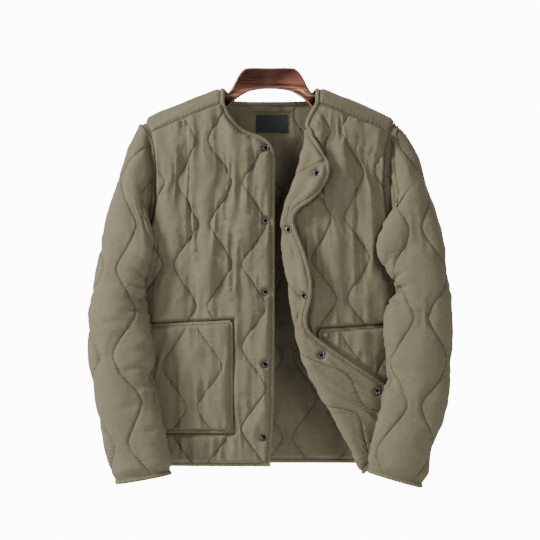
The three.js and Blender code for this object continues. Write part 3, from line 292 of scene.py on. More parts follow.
def grid_faces(rows, columns, offset, flip):
    """Quads of a grid of vertices."""
    r, c = np.meshgrid(np.arange(rows - 1), np.arange(columns - 1), indexing="ij")
    low = r * columns + c + offset
    quads = np.stack([low, low + 1, low + columns + 1, low + columns], -1).reshape(-1, 4)
    return quads[:, ::-1] if flip else quads


def strip_faces(first, second, flip):
    """Quads between two equally long lists of vertices."""
    quads = np.stack([first[:-1], first[1:], second[1:], second[:-1]], -1)
    return quads[:, ::-1] if flip else quads


def welded(rows, columns, capped=False, looped=False):
    """For each vertex of a tube's grid the one that stands for it: the last column repeats the first.
    capped draws each end row into one point, and looped joins the last row to the first."""
    index = np.arange(rows * columns).reshape(rows, columns)
    merged = index.copy()
    merged[:, -1] = index[:, 0]
    if looped:
        merged[-1] = merged[0]
    if capped:
        merged[0], merged[-1] = index[0, 0], index[-1, 0]
    return merged


def make_mesh(name, vertices, quads, values=None, merged=None):
    """A mesh object from millimetres, with per-vertex values as UV layers or float attributes.

    merged gives for each vertex the one that stands for it. A quad with a repeated corner becomes a triangle,
    and one with only two corners is left out.
    """
    corners = quads if merged is None else merged.ravel()[quads]
    kept = corners != np.roll(corners, 1, axis=1)
    sound = kept.sum(axis=1) >= 3
    quads, corners, kept = quads[sound], corners[sound], kept[sound]
    counts = kept.sum(axis=1)
    used, place = np.unique(corners[kept], return_inverse=True)
    mesh = bpy.data.meshes.new(name)
    mesh.vertices.add(len(used))
    mesh.vertices.foreach_set("co", (vertices.reshape(-1, 3)[used] * MM).astype(np.float32).ravel())
    mesh.loops.add(len(place))
    mesh.loops.foreach_set("vertex_index", place.astype(np.int32).ravel())
    mesh.polygons.add(len(counts))
    starts = np.concatenate([[0], np.cumsum(counts)[:-1]])
    mesh.polygons.foreach_set("loop_start", starts.astype(np.int32))
    mesh.polygons.foreach_set("use_smooth", np.full(len(counts), True))
    mesh.update(calc_edges=True)
    for layer, value in (values or {}).items():
        if layer == "flat":
            uv = mesh.uv_layers.new(name=layer)
            uv.data.foreach_set("uv", value.reshape(-1, 2)[quads[kept]].astype(np.float32).ravel())
        else:
            attribute = mesh.attributes.new(layer, "FLOAT", "POINT")
            attribute.data.foreach_set("value", value.ravel()[used].astype(np.float32))
    mesh.validate()
    piece = bpy.data.objects.new(name, mesh)
    bpy.context.scene.collection.objects.link(piece)
    return piece


def closed_sheet(name, outer, inner, values, sign, same):
    """A closed wall between an outer and an inner grid. sign tells which side is out, and same gives for
    each place in the grid the column that holds the same point. Values are pairs, outside and inside."""
    rows, columns = outer.shape[:2]
    flip = sign < 0
    count = rows * columns
    index = np.arange(count).reshape(rows, columns)
    faces = [
        grid_faces(rows, columns, 0, flip),
        grid_faces(rows, columns, count, not flip),
        strip_faces(index[0] + count, index[0], flip),
        strip_faces(index[-1], index[-1] + count, flip),
        strip_faces(index[:, 0], index[:, 0] + count, flip),
        strip_faces(index[:, -1] + count, index[:, -1], flip),
    ]
    merged = np.take_along_axis(index, same, axis=1)
    both = {key: np.stack(pair) for key, pair in values.items()}
    merged = np.stack([merged, merged + count])
    return make_mesh(name, np.stack([outer, inner]), np.concatenate(faces), both, merged)


ROW_SAMPLES = 300
EDGE_FADE = 7.0


def fade_at(distance):
    return ease(distance / EDGE_FADE)


class Cloth:
    """Rows of points on the inside of a piece of cloth, evenly spread, with their normals."""

    def __init__(self, rows, sign, closed=False):
        self.sign = sign
        lengths = [lengths_along(points) for points in rows]
        self.total = np.array([along[-1] for along in lengths])
        self.points = np.array([
            spread_at(points, along, np.linspace(0, along[-1], ROW_SAMPLES))
            for points, along in zip(rows, lengths)
        ])
        if closed:
            normal = normals_of(self.points[:, :-1], sign, True)
            self.normals = np.concatenate([normal, normal[:, :1]], axis=1)
        else:
            self.normals = normals_of(self.points, sign)

    def at(self, along):
        """Points and normals at lengths along each row."""
        place = np.clip(along / column(self.total), 0, 1) * (ROW_SAMPLES - 1)
        low = np.minimum(place.astype(int), ROW_SAMPLES - 2)
        part = (place - low)[..., None]
        rows = np.arange(len(self.total))[:, None]
        point = mix(self.points[rows, low], self.points[rows, low + 1], part)
        normal = mix(self.normals[rows, low], self.normals[rows, low + 1], part)
        return point, normal / np.linalg.norm(normal, axis=-1, keepdims=True)

    def height_at(self, along, s):
        return self.at(np.clip(along, 0, column(self.total)))[0][..., 2]

    def ends(self, along, lead=0.0):
        """0 at both ends of the rows, 1 between them. lead moves the first fade out towards its end."""
        return fade_at(along + lead) * fade_at(column(self.total) - along)


# Small forms of the cloth: their height, and the sizes of their noise across and up the flat cloth
PUCKER = {"high": 1.0, "across": 34, "up": 6.5, "reach": 8.0, "clear": 1.8}
PUCKER_DRIFT = {"high": 0.5, "across": 31, "up": 29}
CRUMPLE = {"high": 1.8, "across": 27, "up": 44, "lean_across": 70, "lean_up": 90, "clear": 5}
FINE_CRUMPLE = {"high": 0.5, "across": 13, "up": 19}
DRAPE = {"high": 6.0, "across": 17, "up": 150}
FINE_DRAPE = {"high": 0.5, "across": 9, "up": 85}
DRAPE_SWAY = {"high": 0.9, "across": 60, "up": 120}
INSIDE_SHARE = 0.55  # of the outside pillows' height
LEAST_RELIEF = -0.2
LINE_CROWDING = 0.6  # how far the grid's columns crowd towards the stitched lines
UNSTITCHED = {"mask": 0.02, "distance": 30}


def relief_on(s, height, quilt, seed, rumple, drop):
    """How far the cloth stands out at each flat place, and its distance from the stitched lines."""

    def grain(kind, sizes, number, shift=0.0):
        return sizes["high"] * kind(s / sizes["across"] + shift, height / sizes["up"], seed + number)

    pillow, distance = quilt.measure(s, height)
    near = np.abs(distance)
    # Puckers run away from the stitched lines and die out on the pillows
    drift = grain(lattice, PUCKER_DRIFT, 0)
    pucker = lattice(height / PUCKER["up"] + drift, s / PUCKER["across"], seed + 3)
    pucker = pucker * PUCKER["high"] * np.exp(-near / PUCKER["reach"])
    pucker = pucker * (1 - np.exp(-near / PUCKER["clear"]))
    crumple = ridged(
        s / CRUMPLE["across"] + height / CRUMPLE["lean_across"],
        height / CRUMPLE["up"] - s / CRUMPLE["lean_up"],
        seed + 7,
    )
    crumple = crumple + grain(ridged, FINE_CRUMPLE, 9)
    crumple = crumple * CRUMPLE["high"] * rumple * (1 - np.exp(-near / CRUMPLE["clear"]))
    # Long soft folds fall down the cloth, across its stitched lines
    sway = grain(lattice, DRAPE_SWAY, 13)
    drape = ridged(s / DRAPE["across"] + sway, height / DRAPE["up"], seed + 11)
    drape = drape + grain(ridged, FINE_DRAPE, 12, -sway)
    return pillow + pucker + crumple + drape * DRAPE["high"] * drop, distance


def quilted_piece(name, cloth, quilt, datum, height_of, mask_of, seed, *, across=26, inside_mask_of=None,
                  rumple=1.0, drop=1.0, sink_of=None):
    """A quilted panel whose grid follows its stitched lines. datum is the flat place of each row's start."""
    t = np.arange(across) / across
    shares = t - LINE_CROWDING * np.sin(2 * np.pi * t) / (2 * np.pi)
    first, last = column(datum), column(datum + cloth.total)
    lowest = math.floor((first.min() - quilt.start - quilt.swing) / quilt.pitch)
    highest = math.ceil((last.max() - quilt.start + quilt.swing) / quilt.pitch)
    lines = np.arange(lowest, highest)
    k = np.append(np.repeat(lines, across), highest)[None, :]
    part = np.append(np.tile(shares, len(lines)), 0)[None, :]
    s = np.broadcast_to((first + last) / 2, (len(datum), k.shape[1]))
    for _ in range(ROUNDS["grid"]):
        height = height_of(s - first, s)
        s = np.clip(mix(quilt.line(k, height), quilt.line(k + 1, height), part), first, last)
    along = s - first
    height = height_of(along, s)
    point, normal = cloth.at(along)
    relief, distance = relief_on(s, height, quilt, seed, rumple, drop)
    if sink_of is not None:
        point = point - normal * sink_of(along)[..., None]
    mask = mask_of(along, s, point)
    inside_mask = mask if inside_mask_of is None else inside_mask_of(along, s, point)
    outer = point + normal * (WALL + np.maximum(relief * mask, LEAST_RELIEF))[..., None]
    inner = point - normal * (INSIDE_SHARE * np.maximum(relief, 0) * inside_mask)[..., None]
    masks = (mask, inside_mask)
    flat = np.stack([s * MM, height * MM], -1)
    # line places the stitches and the painted shade of the stitched lines, and raised places the painted
    # highlight on the pillows
    values = {
        "flat": (flat, flat),
        "line": [np.abs(distance) + UNSTITCHED["distance"] * (each < UNSTITCHED["mask"]) for each in masks],
        "raised": [np.maximum(relief, 0) * each for each in masks],
    }
    # Columns that fall beyond a row's ends are drawn into the end's own column
    columns = np.arange(s.shape[1])[None, :] + np.zeros(s.shape, int)
    at_start, at_end = s <= first + SAME_PLACE, s >= last - SAME_PLACE
    end_column = np.where(at_end.any(axis=1), at_end.argmax(axis=1), s.shape[1] - 1)[:, None]
    same = np.where(at_start, 0, np.where(at_end, end_column, columns))
    return closed_sheet(name, outer, inner, values, cloth.sign, same), cloth


# The fronts and the back

ROW_STEP = 2.8
PANEL_TOP = -105.0
PANEL_POINTS = 260
FLAP_POINTS = 120
BEND_POINTS = 60
NORMAL_PASSES = 6  # rows whose ends differ are evened out by so many passes
STITCH_MARGIN = 1.0  # so far out the pillows start to rise beside a bound edge
YOKE_SEAM_FADE = 1.2
COVERED = {"reach": 12, "relief": 0.3}  # how far past the flap's edge it flattens the cloth under it
SIDE_CROWDING = 0.9
SAG_FADE = 1.6


def shares_between(low, high, step=ROW_STEP):
    return np.linspace(0, 1, int(round((high - low) / step)) + 1)


PANEL_SHARES = shares_between(HEM_Z, PANEL_TOP)


def seam_z(x):
    away = np.abs(x)
    neck = SHOULDER_SLOPE * np.maximum(NECK_HALF - away, 0)
    return ridge_at(np.maximum(away, NECK_HALF)) - SEAM_DROP + neck


def front_row_z(r, x):
    return mix(HEM_Z, seam_z(x), r)


def outer_end(row_z):
    x = BODY["half"][2]
    for _ in range(ROUNDS["side"]):
        z = float(row_z(x))
        side = float(half_width_at(z))
        x = side if z < UNDERARM_Z else min(float(armhole_at(z)), side)
    return x


def bisect(low, high, beyond):
    for _ in range(ROUNDS["halving"]):
        middle = (low + high) / 2
        low, high = (low, middle) if beyond(middle) else (middle, high)
    return (low + high) / 2


def right_front_start(r):
    corner_x, corner_z = NECK_SEAM["x"][-1], NECK_SEAM["z"][-1]
    if front_row_z(r, corner_x) <= corner_z:
        return float(front_edge_at(front_row_z(r, corner_x)))
    return bisect(NECK_SEAM["x"][0], corner_x, lambda x: front_row_z(r, x) > neck_seam_at(x))


def to_side(outer, start):
    """Places from a start to the side, closer together near the side."""
    t = np.linspace(0, 1, PANEL_POINTS)
    return outer + (start - outer) * (1 - t) ** 2 * (1 + SIDE_CROWDING * t)


def fold_of(r):
    height = float(front_row_z(r, FLAP["foldX"][0]))
    at = {name: float(curve(height)) for name, curve in flap_curves.items()}
    width = math.hypot(at["edgeX"] - at["foldX"], at["edgeZ"] - at["foldZ"])
    along = ((at["edgeX"] - at["foldX"]) / width, (at["edgeZ"] - at["foldZ"]) / width)
    return {
        "turned": height < FLAP["height"][0],
        "along": along,
        "angle": math.radians(min(max(at["angle"], 0), 180)),
        "length": max(width - at["bend"], FLAP_LEAST),
        "turn": (at["foldX"] + along[0] * at["bend"], at["foldZ"] + along[1] * at["bend"]),
        "bend": at["bend"],
        "lift": at["lift"],
    }


def left_front_row(r):
    """The row's points from the flap's edge, round the fold to the side, its start's place on the flat cloth,
    and where along it the fold starts and ends."""
    outer = outer_end(lambda x: front_row_z(r, x))
    fold = fold_of(r)
    turn_x, turn_z = fold["turn"]
    if not fold["turned"]:
        start = turn_x
        for _ in range(ROUNDS["neck"]):
            start = float(left_neck_at(front_row_z(r, start)))
        x = to_side(outer, start)
        return body_points(FRONT, x, front_row_z(r, x)), start, 0.0, 0.0
    angle, length, bend = fold["angle"], fold["length"], fold["bend"]
    along_x, along_z = fold["along"]
    turn_y = float(body_y(FRONT, turn_x, turn_z))
    flat_y = turn_y - bend * (1 - math.cos(angle))
    # The flap lies down on the front over the last third of its turn
    pressed = float(ease(angle / math.pi * 3 - 2))
    t = np.linspace(1, 0, FLAP_POINTS)[:-1]
    away = length * t
    x = turn_x - along_x * away * math.cos(angle)
    z = turn_z - along_z * away * math.cos(angle)
    level = body_y(FRONT, np.minimum(x, SLEEVE_REST_X), z) - FLAP_CLEARANCE
    y = mix(flat_y, level, pressed * ease(2 * t)) - away * math.sin(angle) - fold["lift"] * ease(t)
    flap = np.stack([x, y, z], -1)
    a = angle * np.linspace(1, 0, BEND_POINTS)[:-1]
    back = bend * np.sin(a)
    bent_y = turn_y - bend * (1 - np.cos(a))
    bent = np.stack([turn_x - along_x * back, bent_y, turn_z - along_z * back], -1)
    x = to_side(outer, turn_x)
    near = np.clip((outer - x) / (outer - turn_x), 0, 1)
    sag = turn_z - float(front_row_z(r, turn_x))
    body = body_points(FRONT, x, front_row_z(r, x) + sag * near**SAG_FADE)
    start = turn_x - bend * angle - length
    return np.concatenate([flap, bent, body]), start, length, length + bend * angle


POCKETS = {
    "right": {"inner": 72.0, "outer": 228.0, "top": -474.0, "slope": -0.05, "bottom": -676.0},
    "left": {"inner": 92.0, "outer": 228.0, "top": -490.0, "slope": 0.06, "bottom": -676.0},
}
POCKET_CORNER = 17.0
POCKET_LIFT = 5.0
UNDER_POCKET = {"margin": 11.0, "fade": 7}  # where the front's pillows fade outside a pocket's edge
UNDER_SNAP = {"radius": 5, "fade": 6}
SNAPS = {side: [f"snap_{side}_{i}" for i in range(1, 6)] for side in SIDES}
SNAP_SPOTS = {
    side: [(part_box(snap)[0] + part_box(snap)[1]) / (2 * MM) for snap in snaps] for side, snaps in SNAPS.items()
}


def off_snaps(name, point):
    """0 on the cloth under a snap, 1 clear of it."""
    clear = 1.0
    for spot in SNAP_SPOTS[name]:
        away = np.hypot(point[..., 0] - spot[0], point[..., 2] - spot[2])
        clear = clear * ease((away - UNDER_SNAP["radius"]) / UNDER_SNAP["fade"])
    return clear


def off_pocket(name, point):
    """0 on the cloth that a pocket covers, 1 well clear of it."""
    pocket = POCKETS[name]
    x, z = point[..., 0] * SIDES[name], point[..., 2]
    top = pocket["top"] + pocket["slope"] * (x - pocket["inner"])
    within = np.minimum(np.minimum(x - pocket["inner"], top - z), z - pocket["bottom"])
    return 1 - ease((within + UNDER_POCKET["margin"]) / UNDER_POCKET["fade"])


def hem_to_seam(x, z):
    """0 at a front's hem and yoke seam, 1 between them."""
    return fade_at(z - HEM_Z + STITCH_MARGIN) * fade_at((seam_z(x) - z) * YOKE_SEAM_FADE)


def evened(rows, sign):
    cloth = Cloth(rows, sign)
    cloth.normals = unit(smoothed(cloth.normals, NORMAL_PASSES, False))
    return cloth


def make_right_front():
    rows, starts = [], []
    for r in PANEL_SHARES:
        start = right_front_start(r)
        x = to_side(-outer_end(lambda x: front_row_z(r, x)), start)
        rows.append(body_points(FRONT, x, front_row_z(r, x)))
        starts.append(start)
    cloth = evened(rows, -1)
    datum = NECK_SEAM["x"][-1] - np.array(starts)

    def mask(along, s, point):
        clear = cloth.ends(along, STITCH_MARGIN) * off_snaps("right", point)
        return clear * hem_to_seam(point[..., 0], point[..., 2]) * off_pocket("right", point)

    def inside_mask(along, s, point):
        return cloth.ends(along) * hem_to_seam(point[..., 0], point[..., 2])

    quilt = Quilt(start=34, tip=-139)
    return quilted_piece(
        "right_front_cloth", cloth, quilt, datum, cloth.height_at, mask, 1, inside_mask_of=inside_mask
    )


# The left front's stitched lines lean outward on their way down
LEFT_QUILT_LEAN = 0.055
LEFT_QUILT_TOP = -80.0
LEFT_QUILT_SHIFT = 18.0
FOLD_CLEAR = 2


def make_left_front():
    rows, starts, fold_starts, fold_ends = zip(*(left_front_row(r) for r in PANEL_SHARES))
    cloth = evened(rows, 1)
    leaning = LEFT_QUILT_LEAN * (LEFT_QUILT_TOP - mix(HEM_Z, PANEL_TOP, PANEL_SHARES))
    datum = np.array(starts) - np.clip(leaning, 0, LEFT_QUILT_SHIFT)
    fold_end = column(fold_ends)
    covered_to = fold_end + column(fold_starts) + COVERED["reach"]

    def height(along, s):
        return front_row_z(column(PANEL_SHARES), s)

    def edges(along, s):
        return fade_at(column(cloth.total) - along) * hem_to_seam(s, height(along, s))

    def mask(along, s, point):
        covered = np.where(along < covered_to, COVERED["relief"], 1)
        clear = fade_at(along - fold_end - FOLD_CLEAR) * covered
        return clear * edges(along, s) * off_pocket("left", point)

    def inside_mask(along, s, point):
        clear = np.minimum(off_snaps("left", point) + (along > fold_end), 1)
        return fade_at(along + STITCH_MARGIN) * edges(along, s) * clear

    quilt = Quilt(start=22, tip=-122)
    return quilted_piece(
        "left_front_cloth", cloth, quilt, datum, height, mask, 2, inside_mask_of=inside_mask
    )


BACK_NECK_CORNER = 80.0
BACK_NECK_Z = -67.0
BACK_LONG = 620
BACK_POINTS = 500
LABEL = {"left": -26.0, "right": 33.0, "top": -85.5, "bottom": -118.5, "thick": 0.8, "off": 0.9}
UNDER_LABEL = {"margin": 2, "fade": 9}


def back_top_z(x):
    away = np.abs(x)
    corner = float(ridge_at(BACK_NECK_CORNER)) - SEAM_DROP
    neck = mix(BACK_NECK_Z, corner, (away / BACK_NECK_CORNER) ** 3)
    return np.where(away > BACK_NECK_CORNER, ridge_at(x) - SEAM_DROP, neck)


def make_back():
    rows = []
    shares = shares_between(HEM_Z, BACK_NECK_Z)
    for r in shares:
        outer = outer_end(lambda x: mix(HEM_Z, back_top_z(x), r))
        x = outer * np.sin(np.pi / 2 * np.linspace(-1, 1, BACK_POINTS))
        rows.append(body_points(BACK, x, mix(HEM_Z, back_top_z(x), r)))
    cloth = evened(rows, -1)
    up = column(shares * BACK_LONG)

    def mask(along, s, point):
        return cloth.ends(along) * fade_at(BACK_LONG - up) * fade_at(up)

    def inside_mask(along, s, point):
        x, z = point[..., 0], point[..., 2]
        beside = np.maximum(LABEL["left"] - x, x - LABEL["right"])
        above = np.maximum(LABEL["bottom"] - z, z - LABEL["top"])
        away = np.maximum(beside, above) - UNDER_LABEL["margin"]
        return mask(along, s, point) * ease(away / UNDER_LABEL["fade"])

    quilt = Quilt(start=0, tip=-160)
    return quilted_piece(
        "back_cloth", cloth, quilt, -cloth.total / 2, cloth.height_at, mask, 3,
        across=20, inside_mask_of=inside_mask,
    )


YOKE = {
    "drop": SEAM_DROP - SEAM_GAP, "long": 150.0, "neck": 90.0, "tip": 225.0, "points": 120, "relief": 0.3,
}


def make_yoke(name, seed):
    side = SIDES[name]
    across = np.linspace(-1, 1, YOKE["points"])
    drop = YOKE["drop"] * across**2
    tip = np.full(across.shape, YOKE["tip"])
    for _ in range(ROUNDS["side"]):
        tip = armhole_at(ridge_at(tip) - drop)
    neck = mix(YOKE["neck"], BACK_NECK_CORNER, ease(across))
    shares = shares_between(0, YOKE["long"])
    rows = []
    for out in shares:
        x = mix(neck, tip - SEAM_GAP / 2, out)
        z = ridge_at(x) - drop
        y = np.where(across < 0, body_y(FRONT, side * x, z), body_y(BACK, side * x, z))
        rows.append(np.stack([side * x, y, z], -1))
    cloth = Cloth(rows, -side)
    level = column(shares * YOKE["long"])

    def mask(along, s, point):
        return YOKE["relief"] * cloth.ends(along) * fade_at(level) * fade_at(YOKE["long"] - level)

    def height(along, s):
        return level + 0 * along

    quilt = Quilt(start=-36, tip=60, pitch=72, swing=0)
    datum = -cloth.total / 2
    return quilted_piece(f"{name}_yoke_cloth", cloth, quilt, datum, height, mask, seed, drop=1.4)


# The sleeves. Each row gives the outline of a ring as it is seen from the front: its outer and inner point,
# how far forward its middle lies, half its depth, and how far its front bulges over the body.
RING_COLUMNS = ("at", "outX", "outZ", "inX", "inZ", "y", "half", "over")
SLEEVE_RINGS = {
    "right": [
        (0.03, 240, -116, 263, -350, -2, 37, 4), (0.07, 253, -142, 266, -354, -7, 43, 14),
        (0.13, 269, -184, 266, -361, -14, 46, 30), (0.2, 284, -228, 263, -370, -24, 43, 42),
        (0.27, 296, -275, 256, -382, -35, 38, 38), (0.34, 308, -318, 242, -396, -43, 34, 26),
        (0.41, 319, -366, 233, -410, -50, 32, 10), (0.48, 329, -416, 226, -430, -55, 31, 0),
        (0.56, 335, -470, 220, -472, -60, 31, 0), (0.64, 336, -525, 211, -525, -65, 31, 0),
        (0.77, 323, -618, 203, -616, -72, 30, 0), (0.9, 302, -710, 184, -702, -78, 29, 0),
        (1, 289, -766, 177, -746, -80, 28, 0),
    ],
    "left": [
        (0.03, 238, -122, 263, -350, -2, 37, 4), (0.07, 255, -139, 266, -354, -7, 43, 16),
        (0.13, 273, -176, 266, -361, -14, 46, 36), (0.2, 289, -220, 263, -370, -24, 43, 54),
        (0.27, 302, -268, 256, -382, -37, 38, 58), (0.34, 315, -313, 242, -396, -47, 34, 44),
        (0.41, 325, -363, 232, -408, -56, 32, 22), (0.48, 332, -415, 221, -430, -63, 31, 4),
        (0.56, 335, -463, 208, -470, -70, 30, 0), (0.64, 334, -525, 209, -525, -78, 29, 0),
        (0.77, 324, -618, 203, -614, -88, 28, 0), (0.9, 300, -707, 182, -692, -93, 27, 0),
        (1, 284, -772, 174, -740, -94, 27, 0),
    ],
}
# Creases: place down the sleeve, width, depth, place round it, and spread round it
SLEEVE_CREASES = {
    "right": [
        (0.49, 17, 8, 0.04, 0.1), (0.705, 17, 8, 0.04, 0.1), (0.32, 20, 4, 0.3, 0.14),
        (0.6, 22, 3, 0.2, 0.12),
    ],
    "left": [
        (0.465, 17, 9, 0.05, 0.11), (0.72, 17, 8, 0.04, 0.1), (0.14, 26, 9, 0.2, 0.12),
        (0.33, 22, 5, 0.27, 0.13),
    ],
}
# Small creases of the cloth: distance down the sleeve, width, depth, place round it, and spread round it
FINE_CREASES = {
    "right": [
        (150, 7, 3.5, 0.12, 0.07), (205, 8, 4, 0.08, 0.07), (248, 7, 4, 0.16, 0.08),
        (282, 6, 4.5, 0.1, 0.07), (345, 6, 4.5, 0.1, 0.08), (372, 7, 3, 0.3, 0.07), (420, 7, 4, 0.08, 0.08),
        (452, 6, 4.5, 0.14, 0.08), (482, 6, 4, 0.08, 0.08), (520, 8, 3, 0.25, 0.09),
        (560, 7, 3, 0.12, 0.07), (300, 8, 3, 0.36, 0.07), (440, 8, 2.5, 0.4, 0.07),
    ],
    "left": [
        (60, 9, 6, 0.22, 0.08), (92, 7, 5, 0.28, 0.08), (125, 8, 5, 0.2, 0.08), (160, 7, 4, 0.12, 0.07),
        (215, 8, 4, 0.1, 0.08), (262, 6, 5, 0.12, 0.08), (290, 6, 5, 0.08, 0.08), (330, 6, 5, 0.1, 0.08),
        (360, 7, 3, 0.3, 0.08), (420, 7, 4, 0.08, 0.08), (455, 6, 4.5, 0.14, 0.08), (490, 6, 4, 0.07, 0.08),
        (540, 8, 3, 0.25, 0.09),
    ],
}
CREASE_LEAN = 60
# The ditch beside the armhole seam, down the front of the sleeve
DITCH = {"deep": 13.0, "at": 13, "wide": 10, "ends": 0.5, "end_fade": 0.12, "start_fade": 0.06}
SLEEVE_SKIN = 8.5
SLEEVE_PAD = 3
SLEEVE_PITCH = 64.0
SLEEVE_SWING = 19.5
SLEEVE_PERIOD = 161.0
SLEEVE_LONG = 660.0
SLEEVE_RELIEF = 0.85
SLEEVE_SEAM_FADE = 2
CUFF_FADE = 4
CREASE_HALF = 30  # the least half depth that a crease is measured against
BULGE_LEAN = 0.8  # how much more a sleeve bulges on its outer side
SEAM_PULL = {"share": 0.8, "reach": 0.09}  # the first rings follow the armhole
SEAM_ROWS = {"rows": 6, "passes": 40, "fewer": 6}  # whose normals are evened out round the armhole
# The middle line of the row of onion shapes down each sleeve's front, and the height of one of its necks
SLEEVE_ROWS = {
    "right": {
        "z": [-771, -696, -536, -374, -225, -150], "x": [-252, -270, -300, -292, -276, -258], "neck": -536.0,
    },
    "left": {
        "z": [-745, -628, -464, -309, -179, -140], "x": [239, 263, 277, 270, 244, 234], "neck": -464.0,
    },
}
MIDDLE_SEARCH = {"back": 0.1, "far": 1000, "passes": 60}
UNDERARM = {"ease": 2.4, "below": -300, "reach": 20}
RING_POINTS = 241
RING_CURVES = {}
for name, rings in SLEEVE_RINGS.items():
    table = columns_of(RING_COLUMNS, rings)
    RING_CURVES[name] = {key: curve_through(table, "at", key) for key in RING_COLUMNS}


def armhole_ring(side):
    """The armhole from the underarm up the front to the tip and down the back."""
    u = np.linspace(0, 1, RING_POINTS)
    t = np.where(u <= 0.5, u * 2, 2 - u * 2)
    z = mix(UNDERARM_Z, ARMHOLE["z"][0], (1 - np.cos(np.pi * t)) / 2)
    room = UNDERARM["ease"] * ease((UNDERARM["below"] - z) / UNDERARM["reach"])
    x = armhole_at(z) + SEAM_GAP / 2 + room
    near = np.minimum(x, half_width_at(z))
    y = np.where(u <= 0.5, body_y(FRONT, near, z), body_y(BACK, near, z))
    return np.stack([side * x, y, z], -1)


def round_away(u, place):
    """How far round a ring its points lie from a place."""
    away = np.abs(u - place)
    return np.minimum(away, 1 - away)


def sleeve_ring(name, down, seam):
    if down == 0:
        return seam
    place = max(down, SLEEVE_RINGS[name][0][0])
    at = {key: float(curve(place)) for key, curve in RING_CURVES[name].items()}
    out_x, out_z = at["outX"] - at["inX"], at["outZ"] - at["inZ"]
    size = math.hypot(out_x, out_z)
    reach_x = out_x / 2 - out_x / size * SLEEVE_SKIN
    reach_z = out_z / 2 - out_z / size * SLEEVE_SKIN
    u = np.linspace(0, 1, RING_POINTS)
    turn = 2 * np.pi * u
    bulge = at["over"] * np.maximum(np.sin(turn), 0) ** 2 * (1 + BULGE_LEAN * np.cos(turn))
    dent = 0
    for place, wide, deep, round_at, spread in SLEEVE_CREASES[name]:
        around = round_away(u, round_at) / spread
        along = (down - place) * SLEEVE_LONG / wide
        dent = dent + deep * np.exp(-(around**2) - along**2)
    shrink = 1 - dent / max(at["half"], CREASE_HALF)
    x = (at["outX"] + at["inX"]) / 2 - reach_x * np.cos(turn) * shrink - bulge
    z = (at["outZ"] + at["inZ"]) / 2 - reach_z * np.cos(turn) * shrink
    y = at["y"] - (at["half"] - SLEEVE_PAD) * np.sin(turn) * shrink
    plain = np.stack([SIDES[name] * x, y, z], -1)
    return mix(plain, seam, SEAM_PULL["share"] * (1 - float(ease(down / SEAM_PULL["reach"]))))


def quilt_middle(cloth, onions):
    """How far along each row of a sleeve its onion shapes have their middle line."""
    middle_x = curve_through(onions, "z", "x")
    away = np.abs(cloth.points[..., 0] - middle_x(cloth.points[..., 2]))
    away = away + MIDDLE_SEARCH["far"] * (cloth.normals[..., 1] > MIDDLE_SEARCH["back"])
    share = smoothed(away.argmin(axis=1) / (ROW_SAMPLES - 1), MIDDLE_SEARCH["passes"], False)
    return share * cloth.total


def make_sleeve(name, seed):
    side, onions = SIDES[name], SLEEVE_ROWS[name]
    seam = armhole_ring(side)
    downs = shares_between(0, SLEEVE_LONG)
    # The tube's two edges meet at the underarm seam, where its normals agree
    cloth = Cloth([sleeve_ring(name, down, seam) for down in downs], -side, closed=True)
    for row in range(SEAM_ROWS["rows"]):
        passes = SEAM_ROWS["passes"] - SEAM_ROWS["fewer"] * row
        cloth.normals[row, :-1] = unit(smoothed(cloth.normals[row, :-1], passes, True))
        cloth.normals[row, -1] = cloth.normals[row, 0]
    level = column(downs * SLEEVE_LONG)

    def mask(along, s, point):
        seam_away = np.minimum(along, column(cloth.total) - along)
        ends = fade_at(level / SLEEVE_SEAM_FADE) * fade_at((SLEEVE_LONG - level) / CUFF_FADE)
        return SLEEVE_RELIEF * ends * fade_at(seam_away)

    def sink(along):
        u = along / column(cloth.total)
        front = ease((DITCH["ends"] - u) / DITCH["end_fade"]) * ease(u / DITCH["start_fade"])
        ditch = DITCH["deep"] * np.exp(-(((level - DITCH["at"]) / DITCH["wide"]) ** 2)) * front
        for place, wide, deep, round_at, spread in FINE_CREASES[name]:
            leaning = level - place - CREASE_LEAN * (u - round_at)
            around = round_away(u, round_at) / spread
            ditch = ditch + deep * np.exp(-(around**2) - (leaning / wide) ** 2)
        return ditch

    quilt = Quilt(SLEEVE_PITCH / 2, onions["neck"], SLEEVE_PITCH, SLEEVE_SWING, SLEEVE_PERIOD)
    return quilted_piece(
        f"{name}_sleeve_cloth", cloth, quilt, -quilt_middle(cloth, onions), cloth.height_at, mask, seed,
        across=16, rumple=1.1, drop=0.3, sink_of=sink,
    )


# The pockets

fold_x_at = curve_through(FLAP, "foldZ", "foldX")
LOWER_FLAP = columns_of(FLAP_COLUMNS, [row for row in FLAP_ROWS if row[0] <= -500])
flap_edge_z_at = curve_through(LOWER_FLAP, "edgeX", "edgeZ")
FOLD_MARGIN = 27.0
POCKET_NECKS = {"right": (144.0, -631.0), "left": (187.0, -568.0)}
POCKET_POINTS = 160
POCKET_FIRST_ROWS = [0, 0.002, 0.006]
POCKET_RELIEF = 0.75
POCKET_TOP_FADE = 200
BELOW_FLAP = {"margin": 12, "fade": 10}  # where the pocket's pillows fade below the flap


def lifted_points(x, z, lift):
    across = body_points(FRONT, x + 1, z) - body_points(FRONT, x - 1, z)
    up = body_points(FRONT, x, z + 1) - body_points(FRONT, x, z - 1)
    return body_points(FRONT, x, z) + unit(np.cross(across, up)) * lift


